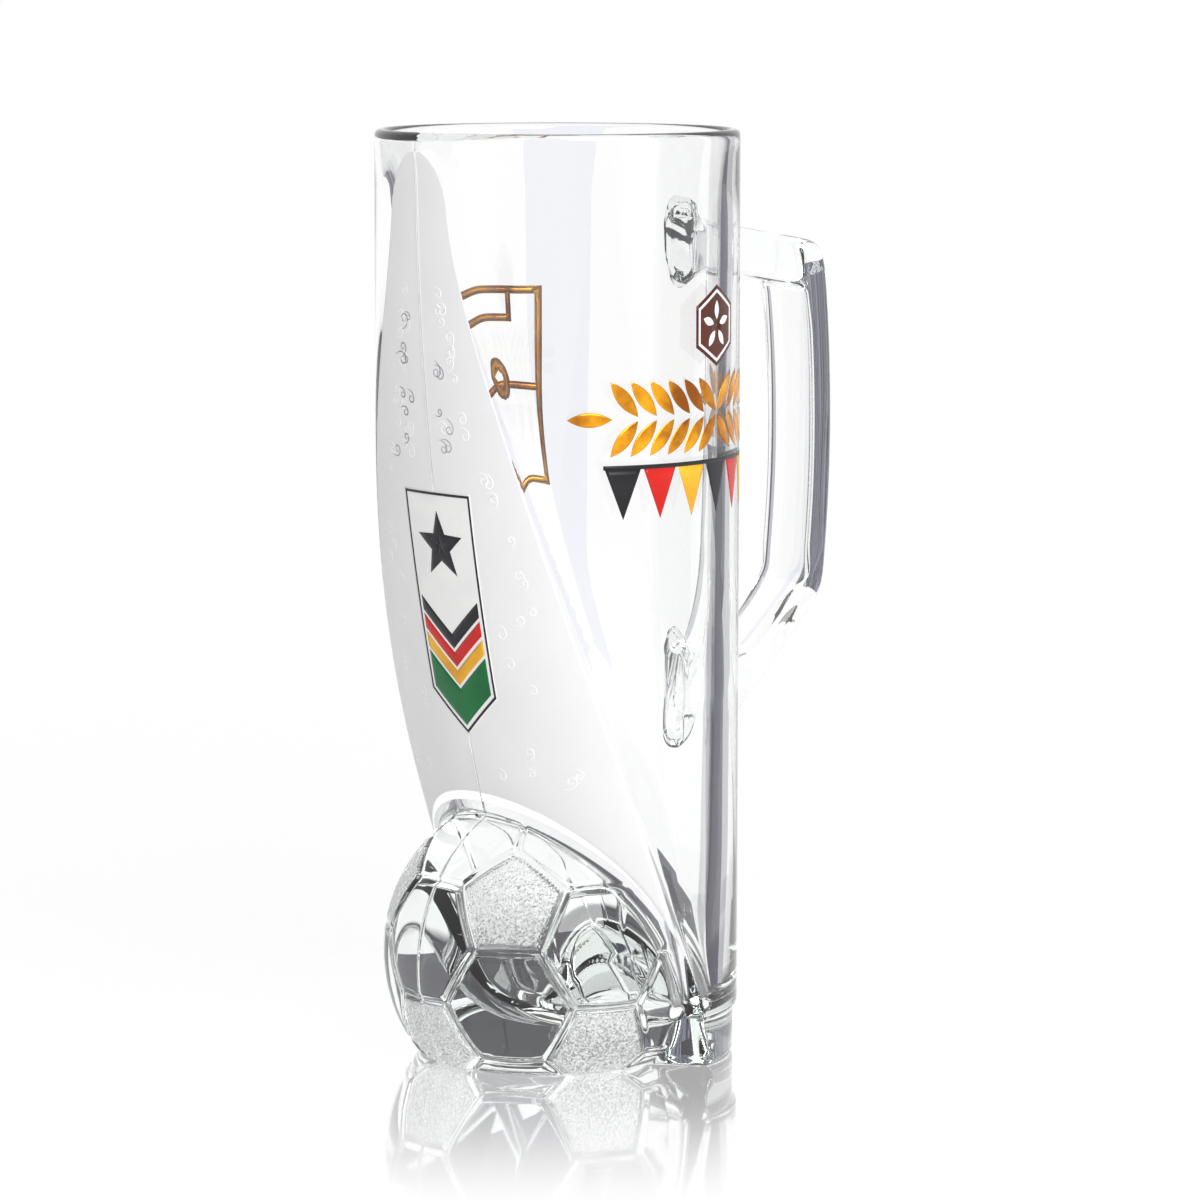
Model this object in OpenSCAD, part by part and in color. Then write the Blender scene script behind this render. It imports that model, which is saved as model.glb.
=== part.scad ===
// Tall pressed-glass beer mug. The front is scooped back above a moulded football that forms the
// front of the foot, and a strap handle is welded on behind. Millimetres, Z up, the round wall's
// axis on Z, the ball towards -X and the handle towards +X.

/* [Body] */
// Overall height
mug_h = 200; // [194:1:206]
// Outside diameter of the round wall
body_d = 78.2; // [77:0.1:80]
// Wall at the lip
lip_wall = 2.7; // [2.4:0.1:3.2]
// Wall just above the floor
low_wall = 4.4; // [4:0.1:5]
// Glass under the drink
floor_t = 10.5; // [9:0.5:12]
// Corner where the inside wall meets the floor
floor_corner = 5; // [3:0.5:6]
// Height of the heel ring below its ledge
heel_h = 10.7; // [9:0.1:12]
// Step in from the round wall to the heel ring
heel_step = 0.9; // [0.6:0.1:1.2]
// Rounding under the heel ring
heel_edge = 1.6; // [1.2:0.1:2]
// Diameter of the shallow hollow under the floor
hollow_d = 46; // [42:1:50]
// Depth of that hollow
hollow_h = 1.2; // [0.8:0.1:1.6]

/* [Scoop] */
// Height at which the scoop stands upright
scoop_top = 195; // [192:0.5:196]
// Depth of the scoop at its upper end
scoop_inset = 0.8; // [0.7:0.05:1]
// Radius of the scoop seen from the side
scoop_arc = 560; // [540:5:580]
// Radius of the scoop seen from above
scoop_cross = 82; // [78:1:86]
// Height at which the scoop starts to run out to the round wall
scoop_end = 188.5; // [187:0.1:190]
// Slope of the run-out
scoop_runout = 6.3; // [5.5:0.1:7]
// Glass behind the scoop where it meets the ball
scoop_wall = 5; // [4:0.25:6]

/* [Ball] */
// Diameter over the panels
ball_d = 70.9; // [70:0.1:71.6]
// Height of the centre above the table
ball_z = 22.2; // [21:0.2:23]
// Centre forward of the mug axis
ball_forward = 3.1; // [2.8:0.1:3.2]
// Width of the seams between panels
seam_w = 1.7; // [1.2:0.1:2.2]
// Depth of the seams
seam_depth = 0.6; // [0.4:0.1:0.8]

/* [Handle] */
// Reach of the handle beyond the round wall
handle_reach = 34.6; // [33:0.2:36]
// Width of the handle across
handle_w = 16.2; // [15:0.2:17]
// Thickness of the grip
grip_t = 6.9; // [6:0.1:7.5]
// Outward bow radius of the grip
grip_bow = 283; // [260:1:320]
// Height of the middle of the grip
grip_mid = 133; // [131:0.5:135]
// Thickness of the upper leg
upper_t = 10.4; // [9.5:0.1:11]
// Height of the upper leg's middle at the wall
upper_z = 173.7; // [172:0.1:175]
// Fall of the upper leg outwards
upper_fall = 9.6; // [8:0.2:11]
// Thickness of the lower leg
lower_t = 8.2; // [7.4:0.1:8.6]
// Height of the lower leg's middle at the wall
lower_z = 69.6; // [68.5:0.1:70.5]
// Rise of the lower leg outwards
lower_rise = 44.3; // [43:0.1:45]
// Distance of the upper bend from the grip's outer face
upper_bend = 5.6; // [5:0.1:6]
// Distance of the lower bend from the grip's middle
lower_bend = 2.8; // [2.4:0.1:3.2]
// Rounding of the handle's edges
handle_edge = 1.6; // [1.2:0.1:2]
// Height of the upper weld on the wall
upper_weld = 18; // [16:0.5:19]
// Width of the upper weld on the wall
upper_weld_w = 12; // [10:0.5:14]
// Height of the lower weld on the wall
lower_weld = 27; // [24:0.5:28]
// Width of the lower weld on the wall
lower_weld_w = 10.8; // [9:0.2:12]
// Clearance between the handle's ends and the wall
weld_gap = 0.02; // [0.01:0.01:0.05]

/* [Satin and pennant prints] */
// Thickness of one printed layer
print_t = 0.15; // [0.12:0.01:0.2]
// Clear margin between the satin and the rim of the scoop
satin_margin = 0.25; // [0.2:0.05:0.4]
// Clear strip between the satin and the ball
satin_gap = 3.4; // [3:0.2:4.4]
// Height of the pennant's upper edge
pennant_top = 124.5; // [122:0.5:127]
// Width of the pennant
pennant_w = 22; // [20:0.5:24]
// Height of the pennant
pennant_h = 53; // [50:0.5:56]
// Height of the pennant's point
pennant_point = 9; // [7:0.5:11]
// Width of the pennant's dark border
pennant_line = 0.55; // [0.4:0.05:0.8]
// Radius of the pennant's star
star_r = 7.6; // [6.5:0.1:8.2]
// Height of one chevron stripe
chevron_t = 3.2; // [2.6:0.1:3.6]
// Gap between chevron stripes
chevron_gap = 0.8; // [0.6:0.1:1.2]

/* [Side prints] */
// Angle of the barley print's middle from the front
side_angle = 109; // [106:1:112]
// Height of the barley ears
ear_z = 141; // [138:0.5:143]
// Length of one grain
grain_l = 9.6; // [9:0.1:10]
// Width of one grain
grain_w = 3.1; // [2.8:0.1:3.2]
// Lean of the grains from the ear's line
grain_lean = 50; // [48:1:56]
// Angle between neighbouring grains
grain_step = 6.6; // [6.5:0.1:6.9]
// Angle from the print's middle to the first grains
ear_start = 5; // [4.6:0.1:5.4]
// Height of the bunting's cord
cord_z = 130.5; // [129:0.5:131.5]
// Angle between neighbouring flags
flag_step = 12.8; // [12.6:0.1:13.2]
// Width of the bunting's cord
cord_w = 0.9; // [0.7:0.1:1.2]
// Width of one flag
flag_w = 8; // [7:0.2:8.4]
// Height of one flag
flag_h = 10.5; // [9:0.5:11]
// Height of the hexagon plaque's middle
plaque_z = 159.4; // [158:0.2:161]
// Corner radius of the hexagon plaque
plaque_r = 8.6; // [7.8:0.1:9]
// Angle of the pitch print's middle from the front, on the other side
pitch_angle = 98; // [95:1:101]
// Height of the pitch print's middle
pitch_z = 141; // [139:0.5:143]
// Width of the pitch print
pitch_w = 36; // [33:0.5:38]
// Height of the pitch print
pitch_h = 45; // [42:0.5:47]
// Line width of the pitch print
pitch_line = 1.8; // [1.4:0.1:2.2]

/* [Hidden] */
$fn = 96;
$turn = 180;
$sweep = 1440;
body_r = body_d / 2;
lip_r = lip_wall / 2;
bore_top = body_r - lip_wall;
bore_low = body_r - low_wall;
ball_r = ball_d / 2;
scoop_front = body_r - scoop_inset;
ball_top = ball_z + ball_r;
drop = scoop_top - ball_top;
drop_depth = scoop_inset + drop * drop / (2 * scoop_arc);
bore_arc = drop * drop / (2 * (drop_depth + scoop_wall - lip_wall));
panel_edge = ball_r * 0.40355;
panel_swell = ball_r / sqrt(ball_r * ball_r - panel_edge * panel_edge / 4);
hexagon_in = panel_edge * sqrt(3) / 2 * panel_swell - seam_w / 2;
pentagon_in = panel_edge / (2 * tan(36)) * panel_swell - seam_w / 2;
grip_out = body_r + handle_reach;
grip_center = grip_out - grip_t / 2 - grip_bow;
grip_steps = 12;
upper_run = (handle_reach - upper_bend) / cos(upper_fall);
grip_up = asin((upper_z - upper_run * sin(upper_fall) + 0.8 - grip_mid) / grip_bow);
lower_run = (handle_reach - grip_t / 2 - lower_bend) / cos(lower_rise);
grip_down = asin((grip_mid - lower_z - lower_run * sin(lower_rise) - 0.4) / grip_bow);
ear_tip = ear_start + 6 * grain_step + 4.4;
grain_rise = grain_l / 2 * sin(grain_lean) + 0.45;
chevron_top = -2 * star_r - 8;

// Round wall and heel ring, solid, up to the middle of the lip
module round_wall() {
    heel_r = body_r - heel_step;
    rotate_extrude($fn = $turn) {
        translate([0, heel_h + heel_step]) square([body_r, mug_h - lip_r - heel_h - heel_step]);
        translate([0, heel_h]) square([heel_r, 2 * heel_step]);
        translate([heel_r, heel_h + heel_step]) intersection() {
            circle(r = heel_step);
            translate([0, -heel_step]) square(heel_step);
        }
        translate([0, heel_edge]) square([heel_r, heel_h]);
        square([heel_r - heel_edge, heel_edge + 1]);
        translate([heel_r - heel_edge, heel_edge]) circle(r = heel_edge);
    }
}

// Barrel whose front is the scoop, with the given radii seen from the side and from above
module barrel(front, arc, cross, grow) {
    translate([cross - front, 0, 0]) rotate_extrude($fn = $turn) intersection() {
        translate([cross - arc, scoop_top]) circle(r = arc + grow, $fn = $sweep);
        translate([0, -12]) square([cross + 4, mug_h + 40]);
    }
}

// The scoop's own barrel, grown by printed layers and flared where the scoop runs out
module scoop_barrel(grow) {
    run = scoop_top - scoop_end;
    flare = scoop_cross + grow - run * run / (2 * scoop_arc) - 0.1;
    tall = mug_h + 14 - scoop_end;
    barrel(scoop_front, scoop_arc, scoop_cross, grow);
    translate([scoop_cross - scoop_front, 0, scoop_end])
        cylinder(r1 = flare, r2 = flare + tall * tan(scoop_runout), h = tall, $fn = $turn);
}

// Stands a flat outline up at an angle from the front and pushes it outwards between two distances
module outward(angle, from, to) rotate([0, 0, angle]) rotate([90, 0, -90])
    translate([0, 0, from]) linear_extrude(to - from) children();

// Glass that the scoop takes away from the round wall
module scoop_cut() difference() {
    translate([-60, -60, -10]) cube([90, 120, mug_h + 20]);
    scoop_barrel(0);
}

// Shallow hollow under the floor, so that the mug stands on a ring
module hollow() {
    r = (hollow_d * hollow_d / 4 + hollow_h * hollow_h) / (2 * hollow_h);
    rotate_extrude($fn = $turn) intersection() {
        translate([0, hollow_h - r]) circle(r = r, $fn = $sweep);
        translate([0, -1]) square([hollow_d, hollow_h + 2]);
    }
}

// Room for the drink
module bore() {
    corner_z = floor_t + floor_corner;
    intersection() {
        rotate_extrude($fn = $turn) {
            translate([0, floor_t]) square([bore_low - floor_corner, floor_corner]);
            translate([bore_low - floor_corner, corner_z]) circle(r = floor_corner);
            polygon([[0, corner_z], [bore_low, corner_z], [bore_top, mug_h - lip_r],
                [bore_top, mug_h + 5], [0, mug_h + 5]]);
        }
        bore_barrel(0);
    }
}

// Barrel that gives the inside the scoop's shape
module bore_barrel(grow) barrel(bore_top, bore_arc, scoop_cross - lip_wall, grow);

// One raised ball panel, at a latitude and an angle from the front
module ball_panel(lat, angle, sides, apothem, spin) {
    rotate([0, 0, angle]) rotate([0, lat - 90, 0]) rotate([0, 0, spin]) intersection() {
        cylinder(r = apothem / cos(180 / sides), h = ball_d, $fn = sides);
        sphere(r = ball_r);
    }
}

// Football with a pentagon on top: raised pentagons and hexagons over a smaller core
module ball() {
    ring_lat = atan(0.5);
    translate([-ball_forward, 0, ball_z]) {
        sphere(r = ball_r - seam_depth);
        for (k = [-1:1]) {
            ball_panel(-ring_lat, 72 * k, 5, pentagon_in, 180);
            ball_panel(52.62, 72 * k, 6, hexagon_in, 30);
            ball_panel(10.81, 72 * k, 6, hexagon_in, 30);
        }
        for (k = [-1.5:1.5]) {
            ball_panel(ring_lat, 72 * k, 5, pentagon_in, 0);
            ball_panel(-10.81, 72 * k, 6, hexagon_in, 30);
            ball_panel(-52.62, 72 * k, 6, hexagon_in, 30);
        }
    }
}

// Upper half of the rounded lip
module lip() {
    translate([0, 0, mug_h - lip_r]) rotate_extrude($fn = $turn)
        translate([body_r - lip_r, 0]) intersection() {
            circle(r = lip_r, $fn = 48);
            translate([-lip_r, 0]) square([lip_wall, lip_r]);
        }
}

// Body of the mug with its foot, ball, scoop and rounded lip
module glass_body() color([0.86, 0.92, 0.89, 0.4]) {
    $fn = 40;
    $turn = 72;
    $sweep = 240;
    difference() {
        union() {
            difference() {
                round_wall();
                scoop_cut();
                bore();
            }
            intersection() {
                difference() {
                    ball();
                    bore_barrel(scoop_wall / 2);
                }
                translate([-50, -50, 0]) cube([100, 100, 80]);
            }
        }
        hollow();
    }
    lip();
}

// Sections of the handle are lists of a place in X and Z, a heading, a width, a thickness and an edge
// rounding. This one is on a leg that meets the wall at height z, at a distance out along it.
function leg_section(z, rise, thick, along, heading) = [
    body_r + along * cos(rise), z + along * sin(rise), heading, handle_w, thick, handle_edge,
];

// Section of the bowed grip at an angle about the middle of its bow
function grip_section(a) = [
    grip_center + grip_bow * cos(a), grip_mid + grip_bow * sin(a), a - 90, handle_w, grip_t, handle_edge,
];

// Section of a weld pad inside the wall, rounded at both ends
function weld_section(z, tall, across, heading) = [body_r - 1.7, z, heading, across, tall, 0.48 * across];

// Points round one section, six for each rounded corner
function section_points(s) = [
    for (q = [0:3], k = [0:5])
        let (a = 90 * q + 18 * k,
            u = (q == 0 || q == 3 ? 1 : -1) * (s[3] / 2 - s[5]) + s[5] * cos(a),
            v = (q < 2 ? 1 : -1) * (s[4] / 2 - s[5]) + s[5] * sin(a))
        [s[0] - v * sin(s[2]), u, s[1] + v * cos(s[2])],
];

// All sections from the upper weld round to the lower weld
handle_sections = concat(
    [weld_section(upper_z, upper_weld, upper_weld_w, 0)],
    [for (d = [5, upper_run]) leg_section(upper_z, -upper_fall, upper_t, d, -upper_fall)],
    [for (i = [0:grip_steps]) grip_section(grip_up - i * (grip_up + grip_down) / grip_steps)],
    [for (d = [lower_run, 9]) leg_section(lower_z, lower_rise, lower_t, d, lower_rise - 180)],
    [weld_section(lower_z + 5, lower_weld, lower_weld_w, -180)]
);

// Solid skin over a list of sections that have the same number of points
module loft(sections) {
    m = len(section_points(sections[0]));
    n = len(sections);
    sides = [
        for (i = [0:n - 2], j = [0:m - 1])
            let (a = i * m + j, b = i * m + (j + 1) % m)
            each [[a, b, b + m], [a, b + m, a + m]],
    ];
    polyhedron(
        points = [for (s = sections) each section_points(s)],
        faces = concat(sides, [[for (j = [m - 1:-1:0]) j]], [[for (j = [0:m - 1]) (n - 1) * m + j]])
    );
}

// Strap handle with flared ends that sit on the round wall
module handle() color([0.86, 0.92, 0.89, 0.4]) difference() {
    loft(handle_sections);
    cylinder(r = body_r + weld_gap, h = mug_h, $fn = $turn);
}

// Printed layer on the scoop, the first layer being number 0
module on_scoop(layer) intersection() {
    difference() {
        scoop_barrel((layer + 1) * print_t);
        scoop_barrel(layer * print_t);
    }
    children();
}

// Printed layer on the round wall, the first layer being number 0
module on_wall(layer) intersection() {
    difference() {
        translate([0, 0, 100]) cylinder(r = body_r + (layer + 1) * print_t, h = 80, $fn = $turn);
        translate([0, 0, 99]) cylinder(r = body_r + layer * print_t, h = 82, $fn = $turn);
    }
    children();
}

// Satin white print that fills the scoop down to a clear strip above the ball
module satin_panel() color([0.9, 0.9, 0.91]) difference() {
    on_scoop(0) intersection() {
        cylinder(r = body_r - satin_margin, h = mug_h, $fn = $turn);
        translate([-60, -60, ball_z + 14]) cube([60, 120, 180]);
    }
    translate([-ball_forward, 0, ball_z]) sphere(r = ball_r + satin_gap);
}

// Pennant outline hanging from its upper edge, drawn in by an inset
module pennant_shape(inset) {
    half = pennant_w / 2;
    slope = pennant_point / half;
    lean = sqrt(1 + slope * slope);
    side = -(pennant_h - pennant_point) + inset * (lean - slope);
    polygon([[inset - half, -inset], [half - inset, -inset], [half - inset, side],
        [0, -pennant_h + inset * lean], [inset - half, side]]);
}

// Stands a pennant drawing on the scoop
module on_pennant(layer) on_scoop(layer) outward(0, 0, 60) translate([0, pennant_top]) children();

// Star with five points
module star(r) polygon([for (i = [0:9]) (i % 2 == 0 ? r : 0.42 * r) * [cos(90 + 36 * i), sin(90 + 36 * i)]]);

// One chevron stripe across the pennant, counted downwards
module chevron(i) {
    half = pennant_w / 2 - 3 * pennant_line;
    top = chevron_top - i * (chevron_t + chevron_gap);
    fall = half * pennant_point / (pennant_w / 2);
    polygon([[-half, top], [0, top - fall], [half, top], [half, top - chevron_t],
        [0, top - fall - chevron_t], [-half, top - chevron_t]]);
}

// Pale ground of the pennant
module pennant_ground() color([0.86, 0.87, 0.88]) on_pennant(1) pennant_shape(0);

// Dark border of the pennant
module pennant_border() color([0.06, 0.06, 0.07]) on_pennant(2) difference() {
    pennant_shape(0.3);
    pennant_shape(0.3 + pennant_line);
}

// Dark star of the pennant
module pennant_star() color([0.07, 0.07, 0.08]) on_pennant(2) translate([0, -star_r - 4.2]) star(star_r);

// Black chevron of the pennant
module pennant_black() color([0.05, 0.05, 0.06]) on_pennant(2) chevron(0);

// Red chevron of the pennant
module pennant_red() color([0.75, 0.06, 0.05]) on_pennant(2) chevron(1);

// Gold chevron of the pennant
module pennant_gold() color([0.93, 0.66, 0.16]) on_pennant(2) chevron(2);

// Green foot of the pennant
module pennant_green() color([0.03, 0.4, 0.16]) on_pennant(2) intersection() {
    pennant_shape(3 * pennant_line);
    translate([0, chevron_top - 3 * (chevron_t + chevron_gap)])
        polygon([[-pennant_w / 2, 0], [0, -pennant_point], [pennant_w / 2, 0],
            [pennant_w / 2, -60], [-pennant_w / 2, -60]]);
}

// Pointed grain with two curved sides
module grain(l, w) {
    r = (l * l + w * w) / (4 * w);
    intersection() {
        translate([0, r - w / 2]) circle(r = r);
        translate([0, w / 2 - r]) circle(r = r);
    }
}

// Two barley ears that lie end to end in the side print
module barley_gold() color([0.86, 0.55, 0.1]) on_wall(0) for (s = [-1, 1]) {
    for (i = [0:5]) for (row = [-1, 1])
        outward(side_angle + s * (ear_start + grain_step * i), body_r - 2, body_r + 2)
            translate([0, ear_z + row * grain_rise]) rotate(s * row * grain_lean) grain(grain_l, grain_w);
    outward(side_angle + s * ear_tip, body_r - 2, body_r + 2)
        translate([0, ear_z]) grain(grain_l, grain_w);
}

// Angle of one flag of the bunting
function flag_angle(i) = side_angle + flag_step * i;

// Flags of the bunting at the listed places
module flags(places) on_wall(0) for (i = places) outward(flag_angle(i), body_r - 2, body_r + 2)
    translate([0, cord_z]) polygon([[-flag_w / 2, 0], [flag_w / 2, 0], [0, -flag_h]]);

// Cord of the bunting
module bunting_cord() color([0.08, 0.07, 0.07]) on_wall(0)
    rotate([0, 0, flag_angle(-3.5) + 180]) translate([0, 0, cord_z])
        rotate_extrude(angle = 7 * flag_step, $fn = $turn) translate([20, 0]) square([40, cord_w]);

// Black flags
module bunting_black() color([0.05, 0.05, 0.06]) flags([-3, 0, 3]);

// Red flags
module bunting_red() color([0.75, 0.06, 0.05]) flags([-2, 1]);

// Gold flags
module bunting_gold() color([0.93, 0.66, 0.16]) flags([-1, 2]);

// Stands a drawing at the hexagon plaque
module on_plaque(layer) on_wall(layer) outward(side_angle, body_r - 4, body_r + 2)
    translate([0, plaque_z]) children();

// Brown hexagon plaque
module plaque_brown() color([0.24, 0.07, 0.04]) on_plaque(0) rotate(30) circle(r = plaque_r, $fn = 6);

// White hexagon line and five grains on the plaque
module plaque_white() color([0.92, 0.9, 0.86]) on_plaque(1) {
    rotate(30) difference() {
        circle(r = plaque_r - 0.9, $fn = 6);
        circle(r = plaque_r - 1.6, $fn = 6);
    }
    for (i = [0:4]) rotate(90 + 72 * i) translate([0.38 * plaque_r, 0])
        grain(0.46 * plaque_r, 0.2 * plaque_r);
}

// Frame of given size with one line width inside it
module frame(w, h) difference() {
    square([w, h], center = true);
    square([w - 2 * pitch_line, h - 2 * pitch_line], center = true);
}

// Gold plan of a playing field
module pitch_gold() color([0.86, 0.55, 0.1]) on_wall(0)
    outward(-pitch_angle, body_r / 2, body_r + 2) translate([0, pitch_z]) {
        frame(pitch_w, pitch_h);
        square([pitch_w - 1, pitch_line], center = true);
        difference() {
            circle(r = 0.19 * pitch_w);
            circle(r = 0.19 * pitch_w - pitch_line);
        }
        for (s = [-1, 1]) translate([0, s * 0.41 * pitch_h]) frame(0.5 * pitch_w, 0.18 * pitch_h);
    }

glass_body();
handle();
satin_panel();
pennant_ground();
pennant_border();
pennant_star();
pennant_black();
pennant_red();
pennant_gold();
pennant_green();
barley_gold();
bunting_cord();
bunting_black();
bunting_red();
bunting_gold();
plaque_brown();
plaque_white();
pitch_gold();
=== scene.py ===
"""Looks of a tall clear beer mug with a scooped satin front, a moulded football foot and a strap handle.

Every piece is a surface worked out with numpy in millimetres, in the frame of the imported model: Z up
along the round wall, the ball towards -X and the handle towards +X. Angles round the mug are counted
from the front, positive towards -Y, so a point is (-r cos a, -r sin a, z).
"""

import logging
import math
from dataclasses import dataclass, field
from enum import Enum
from functools import cache

import bmesh
import bpy
import numpy as np
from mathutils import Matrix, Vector


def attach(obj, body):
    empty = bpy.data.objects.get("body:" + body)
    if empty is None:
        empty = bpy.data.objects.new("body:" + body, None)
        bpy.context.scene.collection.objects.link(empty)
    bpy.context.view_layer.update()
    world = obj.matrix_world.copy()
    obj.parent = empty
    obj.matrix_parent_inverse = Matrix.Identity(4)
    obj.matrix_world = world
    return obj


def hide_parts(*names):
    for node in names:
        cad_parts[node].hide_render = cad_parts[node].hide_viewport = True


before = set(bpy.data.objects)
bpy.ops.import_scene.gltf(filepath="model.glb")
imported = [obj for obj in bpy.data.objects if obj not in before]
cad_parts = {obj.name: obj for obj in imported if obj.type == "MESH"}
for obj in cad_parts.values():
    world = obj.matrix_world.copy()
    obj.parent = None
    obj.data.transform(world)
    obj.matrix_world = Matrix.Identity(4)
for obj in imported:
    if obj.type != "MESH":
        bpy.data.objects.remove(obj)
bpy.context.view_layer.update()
MM = 0.001
MERGE = 2e-6
WHITE = (1.0, 1.0, 1.0, 1.0)
BLACK = (0.0, 0.0, 0.0, 1.0)
Array = np.ndarray
Drawing = tuple[Array, Array]
Faces = list[list[int]]
Pair = tuple[float, float]
Triple = tuple[float, float, float]
Shade = Triple
Limits = tuple[float, float, float, float]
Socket = bpy.types.NodeSocket
Inputs = dict[str | int, object]
log = logging.getLogger("mug")


class Ground(Enum):
    """Surface that a print lies on."""

    WALL = "round wall"
    SCOOP = "scoop, drawn as seen from the front"
    TURN = "scoop, drawn by the angle round the mug"


def ramp(x: Array, low: float, high: float) -> Array:
    """Smooth step from 0 at low to 1 at high: three times the square less twice the cube."""
    t = np.clip((x - low) / (high - low), 0.0, 1.0)
    return t * t * (3.0 - 2.0 * t)


def smooth_min(a: Array, b: Array, k: float) -> Array:
    """Smaller of two surfaces, with its edge rounded: less k/4 times their squared closeness within k."""
    h = np.clip(1.0 - np.abs(a - b) / k, 0.0, 1.0)
    return np.minimum(a, b) - h * h * k / 4.0


def smooth_max(a: Array, b: Array, k: float) -> Array:
    """Larger of two surfaces with a rounded valley, the mirror image of smooth_min."""
    return -smooth_min(-a, -b, k)


def barrel(z: Array, cross: float, arc: float, middle: float) -> Array:
    """Radius of a barrel: the cross radius less the long arc's sagitta away from the middle height."""
    return cross - arc + np.sqrt(arc ** 2 - (z - middle) ** 2)


def circle_reach(angle: Array, radius: Array, forward: Array | float) -> Array:
    """Distance from an axis to a circle whose middle lies forward of it, from the quadratic of a circle."""
    lift = np.maximum(radius ** 2 - (forward * np.sin(angle)) ** 2, 0.0)
    return forward * np.cos(angle) + np.sqrt(lift)


def around(r: Array, angle: Array, z: Array, back: Array | float = 0.0) -> Array:
    """Points by distance and angle from the front about an axis moved back: (b - r cos a, -r sin a, z)."""
    return np.stack(np.broadcast_arrays(back - r * np.cos(angle), -r * np.sin(angle), z), -1)


def band(start_a: int, count_a: int, start_b: int, count_b: int) -> Faces:
    """Faces between two closed rings, where one ring may have twice the points of the other, or one.

    Args:
        start_a: Number of the first point of the first ring.
        count_a: Points in the first ring.
        start_b: Number of the first point of the second ring.
        count_b: Points in the second ring.

    Returns:
        Quads, or triangles where the counts differ.
    """
    n = min(c for c in (count_a, count_b) if c > 1)
    j = np.arange(n)
    k = (j + 1) % n
    if count_a == 1:
        return np.stack([np.full(n, start_a), start_b + k, start_b + j], 1).tolist()
    if count_b == 1:
        return np.stack([start_a + j, start_a + k, np.full(n, start_b)], 1).tolist()
    if count_a == count_b:
        return np.stack([start_a + j, start_a + k, start_b + k, start_b + j], 1).tolist()
    fine, coarse = (start_a, start_b) if count_a > count_b else (start_b, start_a)
    f0, f1, f2 = fine + 2 * j, fine + 2 * j + 1, fine + (2 * j + 2) % (2 * n)
    c0, c1 = coarse + j, coarse + k
    rows = np.concatenate([np.stack(t, 1) for t in ((f0, f1, c0), (f1, c1, c0), (f1, f2, c1))])
    return (rows if count_a > count_b else rows[:, ::-1]).tolist()


def skin(rings: list[Array]) -> tuple[Array, Faces]:
    """Joins rings of points into one skin.

    Args:
        rings: Closed rings in order, each with one row a point.

    Returns:
        All points, and the faces between neighbouring rings.
    """
    counts = [len(r) for r in rings]
    starts = np.concatenate([[0], np.cumsum(counts)]).astype(int).tolist()
    faces: Faces = []
    for i in range(len(rings) - 1):
        faces += band(starts[i], counts[i], starts[i + 1], counts[i + 1])
    return np.concatenate(rings), faces


class NodeBench:
    """Bench on which the nodes of a material or of the world are put together."""

    def __init__(self, owner: bpy.types.Material | bpy.types.World) -> None:
        """Turns on the nodes of the material or world."""
        owner.use_nodes = True
        self.tree = owner.node_tree

    def feed(self, node: bpy.types.Node | str, inputs: Inputs) -> bpy.types.Node:
        """Fills inputs of a node: a socket is linked, and any other value is set.

        Args:
            node: Node to fill, or its name.
            inputs: Sockets and values by the name or number of the input.

        Returns:
            The node.
        """
        if isinstance(node, str):
            node = self.tree.nodes[node]
        for key, value in inputs.items():
            if isinstance(value, Socket):
                self.tree.links.new(value, node.inputs[key])
            else:
                node.inputs[key].default_value = value
        return node

    def add(self, kind: str, inputs: Inputs | None = None, output: str | int = 0,
            **settings: str | bool) -> Socket:
        """Adds a node.

        Args:
            kind: Type of the node.
            inputs: Sockets and values by the name or number of the input.
            output: Name or number of the output that is wanted.
            settings: Properties of the node, set before its inputs.

        Returns:
            The wanted output.
        """
        node = self.tree.nodes.new("ShaderNode" + kind)
        for name, value in settings.items():
            setattr(node, name, value)
        return self.feed(node, inputs or {}).outputs[output]

    def span(self, value: Socket, limits: Limits, **settings: str) -> Socket:
        """Maps a value from between the first two limits to between the last two."""
        keys = ("Value", "From Min", "From Max", "To Min", "To Max")
        return self.add("MapRange", dict(zip(keys, (value, *limits))), "Result", **settings)

    def shades(self, factor: Socket, places: tuple[float, ...], colours: tuple[Shade, ...]) -> Socket:
        """Maps a factor to colours that change evenly from place to place.

        Args:
            factor: Value from 0 to 1.
            places: Values that give the colours.
            colours: One colour for each place.

        Returns:
            The colour.
        """
        node = self.tree.nodes.new("ShaderNodeValToRGB")
        stops = node.color_ramp.elements
        for place in places[1:-1]:
            stops.new(place)
        for stop, place, colour in zip(stops, places, colours):
            stop.position = place
            stop.color = (*colour, 1.0)
        return self.feed(node, {"Fac": factor}).outputs["Color"]


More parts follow.
